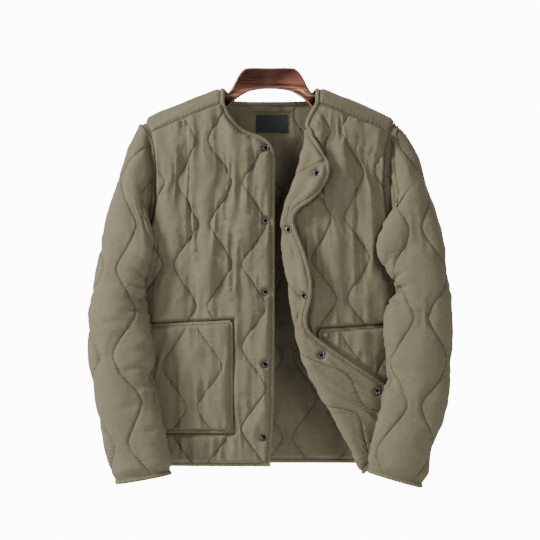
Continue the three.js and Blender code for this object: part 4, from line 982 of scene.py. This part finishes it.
def pocket_row(name, r):
    pocket, side = POCKETS[name], SIDES[name]
    inner, bottom = pocket["inner"], pocket["bottom"]
    risen = min((pocket["top"] - bottom) * r, POCKET_CORNER)
    rounding = POCKET_CORNER - math.sqrt(POCKET_CORNER**2 - (POCKET_CORNER - risen) ** 2)
    height_inner = mix(bottom, pocket["top"], r)
    beyond_fold = float(fold_x_at(height_inner)) + FOLD_MARGIN if side > 0 else inner
    x = np.linspace(max(inner, beyond_fold) + rounding, pocket["outer"] - rounding, POCKET_POINTS)
    z = mix(bottom, pocket["top"] + pocket["slope"] * (x - inner), r)
    return lifted_points(side * x, z, POCKET_LIFT)


def make_pocket(name, seed):
    pocket, side = POCKETS[name], SIDES[name]
    shares = np.concatenate([POCKET_FIRST_ROWS, shares_between(pocket["bottom"], pocket["top"])[1:]])
    cloth = Cloth([pocket_row(name, r) for r in shares], side)

    def mask(along, s, point):
        x, z = point[..., 0], point[..., 2]
        ends = fade_at(z - pocket["bottom"]) * fade_at(column((1 - shares) * POCKET_TOP_FADE))
        relief = POCKET_RELIEF * cloth.ends(along) * ends
        if side > 0:
            relief = relief * ease((z - flap_edge_z_at(x) - BELOW_FLAP["margin"]) / BELOW_FLAP["fade"])
        return relief

    def no_relief(along, s, point):
        return 0 * along

    neck_x, neck_z = POCKET_NECKS[name]
    quilt = Quilt(start=neck_x + QUILT_PITCH / 2, tip=neck_z)
    datum = np.abs(cloth.points[:, 0, 0])
    return quilted_piece(
        f"{name}_pocket_cloth", cloth, quilt, datum, cloth.height_at, mask, seed, inside_mask_of=no_relief
    )


PANELS = {
    "front_right": make_right_front(),
    "front_left": make_left_front(),
    "back": make_back(),
    "yoke_right": make_yoke("right", 4),
    "yoke_left": make_yoke("left", 5),
    "sleeve_right": make_sleeve("right", 6),
    "sleeve_left": make_sleeve("left", 7),
    "pocket_right": make_pocket("right", 8),
    "pocket_left": make_pocket("left", 9),
}
CLOTHS = {node_name: cloth for node_name, (piece, cloth) in PANELS.items()}


# Bindings: padded strips that run along the cloth's edges

BINDING = {"half": 4.4, "thick": 3.9, "gap": -2.6, "cornered": False, "tape": 0.0122}
POCKET_BINDING = {"half": 3.6, "thick": 3.4, "gap": -3.2, "cornered": True, "tape": 0.0102}
BINDING_STEP = 2.4
BINDING_CARRY = 6.0  # how far the edge binding runs on past the hem
BINDING_PASSES = 5
SECTION_POINTS = 14
SECTION_ROUNDNESS = 0.8
STITCH = {"in": 1.3, "deep": 0.22, "wide": 0.9}  # from the binding's inner edge to its drawn-in stitches
RIPPLE = {"high": 0.07, "long": 5.5}
# how raised a binding counts everywhere, which gives it a slight painted highlight all over
BINDING_RAISED = 2.0
NECK_MARGIN = 2


def side_edge(cloth, column_at, beside):
    """An edge along the rows' starts or ends: points, normals, and the direction away from the cloth."""
    points = cloth.points[:, column_at]
    return points, cloth.normals[:, column_at], unit(points - cloth.points[:, beside])


def row_edge(cloth, row, beside, chosen=slice(None)):
    points = cloth.points[row]
    return points[chosen], cloth.normals[row][chosen], unit(points - cloth.points[beside])[chosen]


def reversed_edge(edge):
    return tuple(part[::-1] for part in edge)


def squared(vectors, to):
    """Unit vectors turned square to others."""
    return unit(vectors - to * (vectors * to).sum(-1, keepdims=True))


def rounded(values):
    return np.sign(values) * np.abs(values) ** SECTION_ROUNDNESS


def make_binding(name, edges, size, seed, looped=False, carried=False):
    points, normals, outward = (np.concatenate([edge[i] for edge in edges]) for i in range(3))
    if looped:
        points, normals, outward = (np.concatenate([v[:-1], v[:1]]) for v in (points, normals, outward))
    if carried:
        before = points[:1] + unit(points[:1] - points[2:3]) * BINDING_CARRY
        after = points[-1:] + unit(points[-1:] - points[-3:-2]) * BINDING_CARRY
        points = np.concatenate([before, points, after])
        normals, outward = (np.concatenate([v[:1], v, v[-1:]]) for v in (normals, outward))
    lengths = lengths_along(points)
    count = int(lengths[-1] / BINDING_STEP)
    place = np.linspace(0, lengths[-1], count + 1)[: count if looped else count + 1]
    centre, normal, out = (
        smoothed(spread_at(v, lengths, place), BINDING_PASSES, looped) for v in (points, normals, outward)
    )
    if looped:
        along = unit(np.roll(centre, -1, axis=0) - np.roll(centre, 1, axis=0))
    else:
        along = unit(np.gradient(centre, axis=0))
    if size["cornered"]:
        # Round a corner the strip stays square to its own course
        normal = squared(normal, along)
        beside = np.cross(along, normal)
        out = beside * np.sign(np.median((beside * out).sum(-1)))
    else:
        out = squared(out, along)
        normal = squared(normal - along * (normal * along).sum(-1, keepdims=True), out)
    half = size["half"]
    centre = centre + out * (half + size["gap"]) + normal * WALL / 2
    turn = 2 * np.pi * np.arange(SECTION_POINTS + 1) / SECTION_POINTS
    across = rounded(np.cos(turn)) * half
    # The strip is drawn in at its stitches and ripples along its length
    ripple = 1 + RIPPLE["high"] * lattice(column(place) / RIPPLE["long"], turn[None, :] * 0 + seed, seed)
    drawn = 1 - STITCH["deep"] * np.exp(-(((across + half - STITCH["in"]) / STITCH["wide"]) ** 2))
    rise = (rounded(np.sin(turn)) * size["thick"])[None, :] * ripple * drawn[None, :]
    grid = centre[:, None] + out[:, None] * across[None, :, None] + normal[:, None] * rise[..., None]
    middle = len(grid) // 2 - (2 if looped else 1)
    handed = np.dot(np.cross(out[middle], normal[middle]), along[middle])
    if looped:
        grid = np.concatenate([grid, grid[:1]])
        place = np.append(place, lengths[-1])
    else:
        grid = np.concatenate([grid[:1] * 0 + centre[0], grid, grid[:1] * 0 + centre[-1]])
        place = np.concatenate([place[:1], place, place[-1:]])
    shape = grid.shape[:2]
    girth = 2 * (half + size["thick"])
    values = {
        "flat": np.stack(np.broadcast_arrays(turn / (2 * np.pi) * girth, column(place)), -1) * MM,
        "line": np.broadcast_to(np.abs(across + half - STITCH["in"]), shape),
        "raised": np.full(shape, BINDING_RAISED),
    }
    quads = grid_faces(*shape, 0, handed < 0)
    piece = make_mesh(name, grid, quads, values, welded(*shape, capped=not looped, looped=looped))
    return piece, (size["tape"], lengths[-1] * MM)


def neck_row(cloth):
    return row_edge(cloth, -1, -3, np.abs(cloth.points[-1][:, 0]) < BACK_NECK_CORNER - NECK_MARGIN)


def last_row(cloth):
    return [row_edge(cloth, -1, -3)]


def pocket_surround(cloth):
    return [reversed_edge(side_edge(cloth, 0, 3)), row_edge(cloth, 0, 4), side_edge(cloth, -1, -4)]


FRONT_AND_NECK = [
    side_edge(CLOTHS["front_right"], 0, 2),
    row_edge(CLOTHS["yoke_right"], 0, 2),
    neck_row(CLOTHS["back"]),
    reversed_edge(row_edge(CLOTHS["yoke_left"], 0, 2)),
    reversed_edge(side_edge(CLOTHS["front_left"], 0, 2)),
]
HEM = [
    row_edge(CLOTHS["front_right"], 0, 2),
    row_edge(CLOTHS["back"], 0, 2),
    reversed_edge(row_edge(CLOTHS["front_left"], 0, 2)),
]
STRIPS = {
    "edge_binding": make_binding("front_and_neck_binding", FRONT_AND_NECK, BINDING, 21, carried=True),
    "hem_binding": make_binding("hem_strip", HEM, BINDING, 22),
}
for side, seed in zip(SIDES, (23, 24)):
    edges = last_row(CLOTHS[f"sleeve_{side}"])
    STRIPS[f"cuff_binding_{side}"] = make_binding(f"{side}_cuff_strip", edges, BINDING, seed, looped=True)
MOUTHS = {}
for side, seed in zip(SIDES, (25, 27)):
    around, mouth = (edges_of(CLOTHS[f"pocket_{side}"]) for edges_of in (pocket_surround, last_row))
    name = f"{side}_pocket_surround"
    STRIPS[f"pocket_binding_{side}"] = make_binding(name, around, POCKET_BINDING, seed)
    name = f"{side}_pocket_mouth_strip"
    MOUTHS[f"pocket_mouth_{side}"] = make_binding(name, mouth, POCKET_BINDING, seed + 1)
STRIPS.update(MOUTHS)


# The label, the snaps and the hanger

LABEL_GRID = {"rows": 34, "columns": 60}
LABEL_WAVE = {"high": 0.25, "across": 13, "up": 17, "seed": 31}
LABEL_STITCH = {"in": 2, "high": 0.3, "wide": 0.8}


def make_label():
    x = np.linspace(LABEL["left"], LABEL["right"], LABEL_GRID["columns"])
    rows = []
    for r in np.linspace(0, 1, LABEL_GRID["rows"]):
        z = np.full(len(x), mix(LABEL["bottom"], LABEL["top"], r))
        wavy = lattice(x / LABEL_WAVE["across"], z / LABEL_WAVE["up"], LABEL_WAVE["seed"])
        off = LABEL["off"] + LABEL["thick"] - LABEL_WAVE["high"] * wavy
        rows.append(np.stack([x, body_y(BACK, x, z) - off, z], -1))
    cloth = Cloth(rows, -1)
    along = np.linspace(0, 1, len(x))[None, :] * column(cloth.total)
    point, normal = cloth.at(along)
    beside = np.minimum(along, column(cloth.total) - along)
    above = np.minimum(point[..., 2] - LABEL["bottom"], LABEL["top"] - point[..., 2])
    off_line = np.minimum(beside, above) - LABEL_STITCH["in"]
    drawn = LABEL_STITCH["high"] * np.exp(-((off_line / LABEL_STITCH["wide"]) ** 2))
    flat, line = np.stack([along * MM, point[..., 2] * MM], -1), np.abs(off_line)
    values = {"flat": (flat, flat), "line": (line, line)}
    same = np.arange(len(x))[None, :] + np.zeros(along.shape, int)
    inner, outer = point + normal * drawn[..., None], point + normal * LABEL["thick"]
    return closed_sheet("neck_label", outer, inner, values, -1, same)


# How far each point of a snap's section lies from its middle, and how far it stands out
SNAP_PROFILE = [
    (0.0, 0.9), (0.8, 0.8), (1.2, 0.4), (2.6, 0.3), (3.0, 0.6), (3.3, 1.5), (3.8, 2.1), (4.7, 2.25),
    (5.6, 1.95), (6.0, 1.45), (6.1, 0.8), (6.1, 0.0), (3.0, 0.0), (0.0, 0.0),
]
SNAP_SHADED_SOCKET = 3.2  # the radius of the socket, painted dark as shade in its hollow
SNAP_SEGMENTS = 36


def make_snap(node_name):
    low, high = (np.array(corner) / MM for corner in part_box(node_name))
    middle = (low + high) / 2
    turn = 2 * np.pi * np.arange(SNAP_SEGMENTS + 1) / SNAP_SEGMENTS
    radius, rise = (column(values) for values in zip(*SNAP_PROFILE))
    grid = np.stack([
        middle[0] + radius * np.cos(turn)[None, :],
        high[1] - rise + 0 * turn[None, :],
        middle[2] + radius * np.sin(turn)[None, :],
    ], -1)
    shape = grid.shape[:2]
    # rim is 0 over the socket, which the metal paints near black as shade
    values = {"rim": np.broadcast_to((radius > SNAP_SHADED_SOCKET) * 1.0, shape)}
    quads = grid_faces(*shape, 0, True)
    return make_mesh(f"{node_name}_ring", grid, quads, values, welded(*shape, capped=True))


HANGER_THICK = 14.0
HANGER_ROUND = 3.2
HANGER_ROUND_POINTS = 6
HANGER_TIGHTNESS = 0.9
HANGER_HALF_OUTLINE = [
    (0, 0), (43, 0), (52, -5), (60, -15), (67, -28), (74, -41), (82, -49), (96, -52), (118, -56),
    (156, -71.6), (190, -86.8), (205, -95), (211, -105), (207, -115), (196, -116), (160, -103), (124, -92),
    (98, -86), (80, -76), (64, -59), (42, -45), (20, -40), (0, -39),
]
CURVE_STEPS = 5


def rounded_outline(half):
    """A closed smooth outline through the points of one half and their mirror images."""
    whole = np.array(half + [(-x, z) for x, z in half[-2:0:-1]], float)
    before, after, later = (np.roll(whole, shift, axis=0) for shift in (1, -1, -2))
    gap = np.linalg.norm(after - whole, axis=1, keepdims=True) * HANGER_TIGHTNESS
    into = unit(after - before) * gap
    onward = unit(later - whole) * gap
    out = []
    for t in np.arange(CURVE_STEPS) / CURVE_STEPS:
        h = (2 * t**3 - 3 * t**2 + 1, t**3 - 2 * t**2 + t, 3 * t**2 - 2 * t**3, t**3 - t**2)
        out.append(whole * h[0] + into * h[1] + after * h[2] + onward * h[3])
    return np.stack(out, 1).reshape(-1, 2)


def make_hanger():
    outline = rounded_outline(HANGER_HALF_OUTLINE)
    tangent = unit(np.roll(outline, -1, axis=0) - np.roll(outline, 1, axis=0))
    outward = np.stack([-tangent[:, 1], tangent[:, 0]], -1)
    turn = np.linspace(0, np.pi / 2, HANGER_ROUND_POINTS)
    inset = HANGER_ROUND * (1 - np.sin(turn))
    depth = HANGER_THICK / 2 - HANGER_ROUND * (1 - np.cos(turn))
    inset = np.concatenate([inset, inset[::-1]])
    depth = np.concatenate([-depth, depth[::-1]])
    rings = []
    for off, y in zip(inset, depth):
        flat = outline - outward * off
        rings.append(np.stack([flat[:, 0], np.full(len(flat), y), flat[:, 1]], -1))
    grid = np.array(rings)
    grid = np.concatenate([grid, grid[:, :1]], axis=1)
    merged = welded(*grid.shape[:2])
    quads = [grid_faces(*grid.shape[:2], 0, True)]
    for row in (0, len(grid) - 1):
        ring = grid[row, :-1]
        triangles = np.array(tessellate_polygon([[Vector((x, z, 0)) for x, _, z in ring]]))
        corners = merged[row, :-1][triangles]
        a, b, c = (ring[triangles[:, i]] for i in range(3))
        facing = np.cross(b - a, c - a)[:, 1] * (1 if row else -1)
        corners[facing < 0] = corners[facing < 0][:, ::-1]
        quads.append(np.concatenate([corners, corners[:, 2:]], axis=1))
    return make_mesh("wooden_hanger", grid, np.concatenate(quads), None, merged)


# Materials

PER_METRE = 1000.0  # millimetres, in which threads and weaves are sized
OLIVE = (0.138, 0.126, 0.079)
# dark and light bound the cloth's random tone, light is also the painted highlight on raised pillows, and the
# third tone is painted shade in the stitched lines
TONES = {"dark": 0.72, "light": 1.2, "groove_shade": 0.42}
WEAVE = 0.7
LABEL_WEAVE = {"rib": 0.9, "weft": 0.6, "stitch": 2.2}


def colour(*shares, depth=1.0):
    return (*(share * depth for share in shares), 1.0)


class Look:
    """A material whose nodes are added one on another. Numbers, colours and node outputs feed sockets."""

    def __init__(self, name):
        self.material = bpy.data.materials.new(name)
        self.material.use_nodes = True
        self.tree = self.material.node_tree
        self.shader = self.tree.nodes["Principled BSDF"]

    def add(self, kind, inputs=None, **settings):
        made = self.tree.nodes.new(kind)
        for name, value in settings.items():
            setattr(made, name, value)
        self.feed(made, inputs or {})
        return made

    def feed(self, made, inputs):
        for place, value in inputs.items():
            if isinstance(value, bpy.types.NodeSocket):
                self.tree.links.new(value, made.inputs[place])
            else:
                made.inputs[place].default_value = value

    def place(self):
        return self.add("ShaderNodeTexCoord").outputs["Object"]

    def flat(self):
        return self.add("ShaderNodeUVMap", uv_map="flat").outputs[0]

    def axes(self, where):
        return self.add("ShaderNodeSeparateXYZ", {"Vector": where}).outputs

    def value(self, name):
        return self.add("ShaderNodeAttribute", attribute_name=name).outputs["Fac"]

    def maths(self, operation, a, b=0.0):
        return self.add("ShaderNodeMath", {0: a, 1: b}, operation=operation).outputs[0]

    def times(self, a, b):
        return self.maths("MULTIPLY", a, b)

    def wave(self, value, long):
        return self.maths("SINE", self.times(value, 2 * math.pi * PER_METRE / long))

    def mapped(self, value, low, high, to_low=0.0, to_high=1.0):
        inputs = {0: value, 1: low, 2: high, 3: to_low, 4: to_high}
        return self.add("ShaderNodeMapRange", inputs, interpolation_type="SMOOTHSTEP").outputs[0]

    def mixed(self, share, a, b):
        return self.add("ShaderNodeMix", {0: share, 6: a, 7: b}, data_type="RGBA").outputs[2]

    def noise(self, where, scale=1.0, detail=3.0, rough=0.55, stretch=None):
        if stretch is not None:
            where = self.add("ShaderNodeMapping", {"Vector": where, "Scale": stretch}).outputs[0]
        inputs = {"Vector": where, "Scale": scale, "Detail": detail, "Roughness": rough}
        return self.add("ShaderNodeTexNoise", inputs).outputs["Fac"]

    def stitches(self, along, long, thread, line, reach):
        """1 on each short thread of a stitched line. thread says where in its beat it rises and falls."""
        beat = self.maths("FRACT", self.times(along, PER_METRE / long))
        made = self.times(self.mapped(beat, *thread[:2]), self.mapped(beat, *thread[2:], 1.0, 0.0))
        return self.times(made, self.mapped(line, *reach, 1.0, 0.0))

    def finished(self, tone, rough, bumps, **plain):
        """Bumps lie one on another: each has a height, its strength, and its depth in metres."""
        self.feed(self.shader, {"Base Color": tone, "Roughness": rough})
        last = {}
        for height, strength, depth in bumps:
            inputs = {"Strength": strength, "Distance": depth, "Height": height, **last}
            last = {"Normal": self.add("ShaderNodeBump", inputs).outputs[0]}
        self.feed(self.shader, last)
        self.feed(self.shader, {name.replace("_", " "): value for name, value in plain.items()})
        return self.material


def olive_cloth(name, depth=1.0, stitch_long=3.0):
    """Brushed olive cloth with painted shade in its stitched lines and a painted highlight on its raised
    pillows, with its stitches, puckers and fine weave.
    """
    look = Look(name)
    flat, line, raised, place = look.flat(), look.value("line"), look.value("raised"), look.place()
    dark, light, groove_shade = (colour(*OLIVE, depth=depth * share) for share in TONES.values())
    cloudy = look.noise(place, 11.0, 5.0, 0.6)
    brushed = look.noise(flat, detail=4.0, rough=0.65, stretch=(900.0, 260.0, 1.0))
    mottled = look.noise(place, 150.0, 4.0, 0.65)
    tone = look.mixed(look.mapped(cloudy, 0.3, 0.7), dark, light)
    tone = look.mixed(0.45, tone, colour(*OLIVE, depth=depth))
    tone = look.mixed(look.mapped(mottled, 0.35, 0.65, 0.0, 0.55), tone, dark)
    tone = look.mixed(look.mapped(brushed, 0.25, 0.75, 0.0, 0.4), tone, light)
    # Painted highlight: the higher the pillows stand, the lighter they are painted
    tone = look.mixed(look.mapped(raised, 1.0, 6.0, 0.0, 0.3), tone, light)
    # Painted shade: the cloth is painted darker in and beside its stitched lines
    tone = look.mixed(look.mapped(line, 0.1, 1.5, 0.8, 0.0), tone, groove_shade)
    across, along = look.axes(flat)[:2]
    thread = look.stitches(along, stitch_long, (0.1, 0.2, 0.8, 0.9), line, (0.3, 0.5))
    tone = look.mixed(look.times(thread, 0.7), tone, light)
    pucker = look.noise(flat, detail=2.0, rough=0.5, stretch=(70.0, 240.0, 1.0))
    pucker = look.times(pucker, look.mapped(line, 0.5, 13.0, 1.0, 0.12))
    bumps = [
        (pucker, 0.9, 0.0028),
        (look.noise(place, 60.0, 4.0, 0.6), 0.5, 0.0016),
        (brushed, 0.35, 0.0005),
        (look.times(look.wave(across, WEAVE), look.wave(along, WEAVE)), 0.25, 0.00008),
        (thread, 0.5, 0.0003),
    ]
    return look.finished(
        tone, look.mapped(brushed, 0.2, 0.8, 0.86, 0.97), bumps,
        Specular_IOR_Level=0.2, Sheen_Weight=0.12, Sheen_Roughness=0.6, Sheen_Tint=colour(0.62, 0.58, 0.45),
    )


def black_cloth():
    look = Look("woven label cloth")
    flat, line = look.flat(), look.value("line")
    across, along = look.axes(flat)[:2]
    rib = look.wave(along, LABEL_WEAVE["rib"])
    fuzz = look.noise(flat, detail=4.0, rough=0.6, stretch=(700.0, 700.0, 1.0))
    tone = look.mixed(look.mapped(fuzz, 0.3, 0.7), colour(0.009, 0.01, 0.013), colour(0.022, 0.024, 0.03))
    tone = look.mixed(look.mapped(rib, -1.0, 1.0, 0.0, 0.3), tone, colour(0.03, 0.032, 0.038))
    both = look.maths("ADD", across, along)
    thread = look.stitches(both, LABEL_WEAVE["stitch"], (0.15, 0.3, 0.7, 0.85), line, (0.3, 0.6))
    tone = look.mixed(look.times(thread, 0.8), tone, colour(0.075, 0.07, 0.055))
    woven = look.times(rib, look.wave(across, LABEL_WEAVE["weft"]))
    return look.finished(
        tone, look.mapped(fuzz, 0.2, 0.8, 0.6, 0.85), [(woven, 0.5, 0.00012), (thread, 0.6, 0.0003)]
    )


def dark_wood():
    look = Look("stained wood")
    place = look.place()
    bend = look.noise(place, detail=2.0, stretch=(3.0, 9.0, 9.0))
    grain = look.noise(place, detail=6.0, rough=0.62, stretch=(9.0, 150.0, 210.0))
    pores = look.noise(place, detail=3.0, rough=0.5, stretch=(60.0, 900.0, 1300.0))
    tone = look.mixed(look.mapped(grain, 0.32, 0.68), colour(0.1, 0.034, 0.02), colour(0.46, 0.2, 0.125))
    tone = look.mixed(look.mapped(bend, 0.35, 0.65, 0.0, 0.5), tone, colour(0.17, 0.058, 0.034))
    tone = look.mixed(look.mapped(pores, 0.6, 0.75, 0.0, 0.6), tone, colour(0.025, 0.01, 0.007))
    return look.finished(
        tone, look.mapped(grain, 0.3, 0.7, 0.28, 0.42), [(grain, 0.25, 0.0003), (pores, 0.3, 0.00012)],
        Coat_Weight=0.35, Coat_Roughness=0.2,
    )


def gunmetal():
    look = Look("dark snap metal")
    rubbed = look.noise(look.place(), 420.0, 4.0, 0.6)
    tone = look.mixed(look.mapped(rubbed, 0.35, 0.7), colour(0.07, 0.068, 0.066), colour(0.3, 0.29, 0.28))
    # Painted shade: inside the rim the socket is painted near black for the shade in its hollow
    tone = look.mixed(look.value("rim"), colour(0.012, 0.012, 0.013), tone)
    rough = look.mapped(rubbed, 0.3, 0.7, 0.24, 0.42)
    return look.finished(tone, rough, [(rubbed, 0.15, 0.0001)], Metallic=1.0)


# What each piece is made of, and the part that it stands for

def dress(piece, node_name, material):
    piece.data.materials.append(material)
    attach(piece, "root")
    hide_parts(node_name)


QUILTED = olive_cloth("quilted cloth")
# The binding cloth is the quilted cloth painted a tenth lighter, a painted highlight on the raised strips
BOUND = olive_cloth("binding cloth", depth=1.1, stitch_long=2.6)
METAL = gunmetal()
for node_name, (piece, cloth) in PANELS.items():
    dress(piece, node_name, QUILTED)
for node_name, (piece, flat) in STRIPS.items():
    dress(piece, node_name, BOUND)
label, hanger = make_label(), make_hanger()
snaps = {node_name: make_snap(node_name) for node_name in (*SNAPS["right"], *SNAPS["left"])}
dress(label, "label", black_cloth())
for node_name, snap in snaps.items():
    dress(snap, node_name, METAL)
dress(hanger, "hanger", dark_wood())


# The studio: a pale floor, soft light, and the camera

FLOOR = {"x": (-7.0, 7.0), "y": (-7.0, 1.6), "z": -1.25}
MIDDLE = (0.0, 0.0, -0.4)
WHITE = (1.0, 1.0, 1.0, 1.0)
SEEN_LIGHT = 13.0  # how bright the studio is to the camera
AROUND_LIGHT = 0.25  # and to the object
CAMERA = {"back": 4.5, "up": -0.3774, "sensor": 36.0, "lens": 160.5}


def make_floor():
    grid = np.stack(np.broadcast_arrays(FLOOR["x"], column(FLOOR["y"]), FLOOR["z"]), -1) / MM
    floor = make_mesh("studio_floor", grid, grid_faces(2, 2, 0, False))
    look = Look("pale studio floor")
    tone = look.mixed(look.noise(look.place(), 3.0), colour(0.8, 0.8, 0.8), colour(0.84, 0.84, 0.84))
    floor.data.materials.append(look.finished(tone, 1.0, [], Specular_IOR_Level=0.0))


def soft_light(name, place, size, power):
    light = bpy.data.lights.new(name, "AREA")
    light.shape, light.size, light.energy = "SQUARE", size, power
    lamp = bpy.data.objects.new(name, light)
    lamp.location = place
    lamp.rotation_euler = (Vector(MIDDLE) - Vector(place)).to_track_quat("-Z", "Y").to_euler()
    bpy.context.scene.collection.objects.link(lamp)


def make_world():
    world = bpy.data.worlds.new("studio")
    world.use_nodes = True
    sky = world.node_tree
    seen, around = sky.nodes["Background"], sky.nodes.new("ShaderNodeBackground")
    rays, either = sky.nodes.new("ShaderNodeLightPath"), sky.nodes.new("ShaderNodeMixShader")
    for light, power in ((seen, SEEN_LIGHT), (around, AROUND_LIGHT)):
        light.inputs["Color"].default_value = WHITE
        light.inputs["Strength"].default_value = power
    for source, socket in (
        (rays.outputs["Is Camera Ray"], either.inputs[0]),
        (around.outputs[0], either.inputs[1]),
        (seen.outputs[0], either.inputs[2]),
        (either.outputs[0], sky.nodes["World Output"].inputs[0]),
    ):
        sky.links.new(source, socket)
    bpy.context.scene.world = world


def make_camera():
    data = bpy.data.cameras.new("camera")
    data.sensor_width, data.lens = CAMERA["sensor"], CAMERA["lens"]
    camera = bpy.data.objects.new("camera", data)
    camera.location = (0.0, -CAMERA["back"], CAMERA["up"])
    camera.rotation_euler = (math.pi / 2, 0.0, 0.0)
    bpy.context.scene.collection.objects.link(camera)
    bpy.context.scene.camera = camera


make_floor()
soft_light("key", (-3.1, -1.45, 1.5), size=0.9, power=245.0)
soft_light("fill", (1.6, -3.4, 0.7), size=1.4, power=48.0)
soft_light("rear", (1.9, 3.0, 1.9), size=1.8, power=110.0)
make_world()
make_camera()
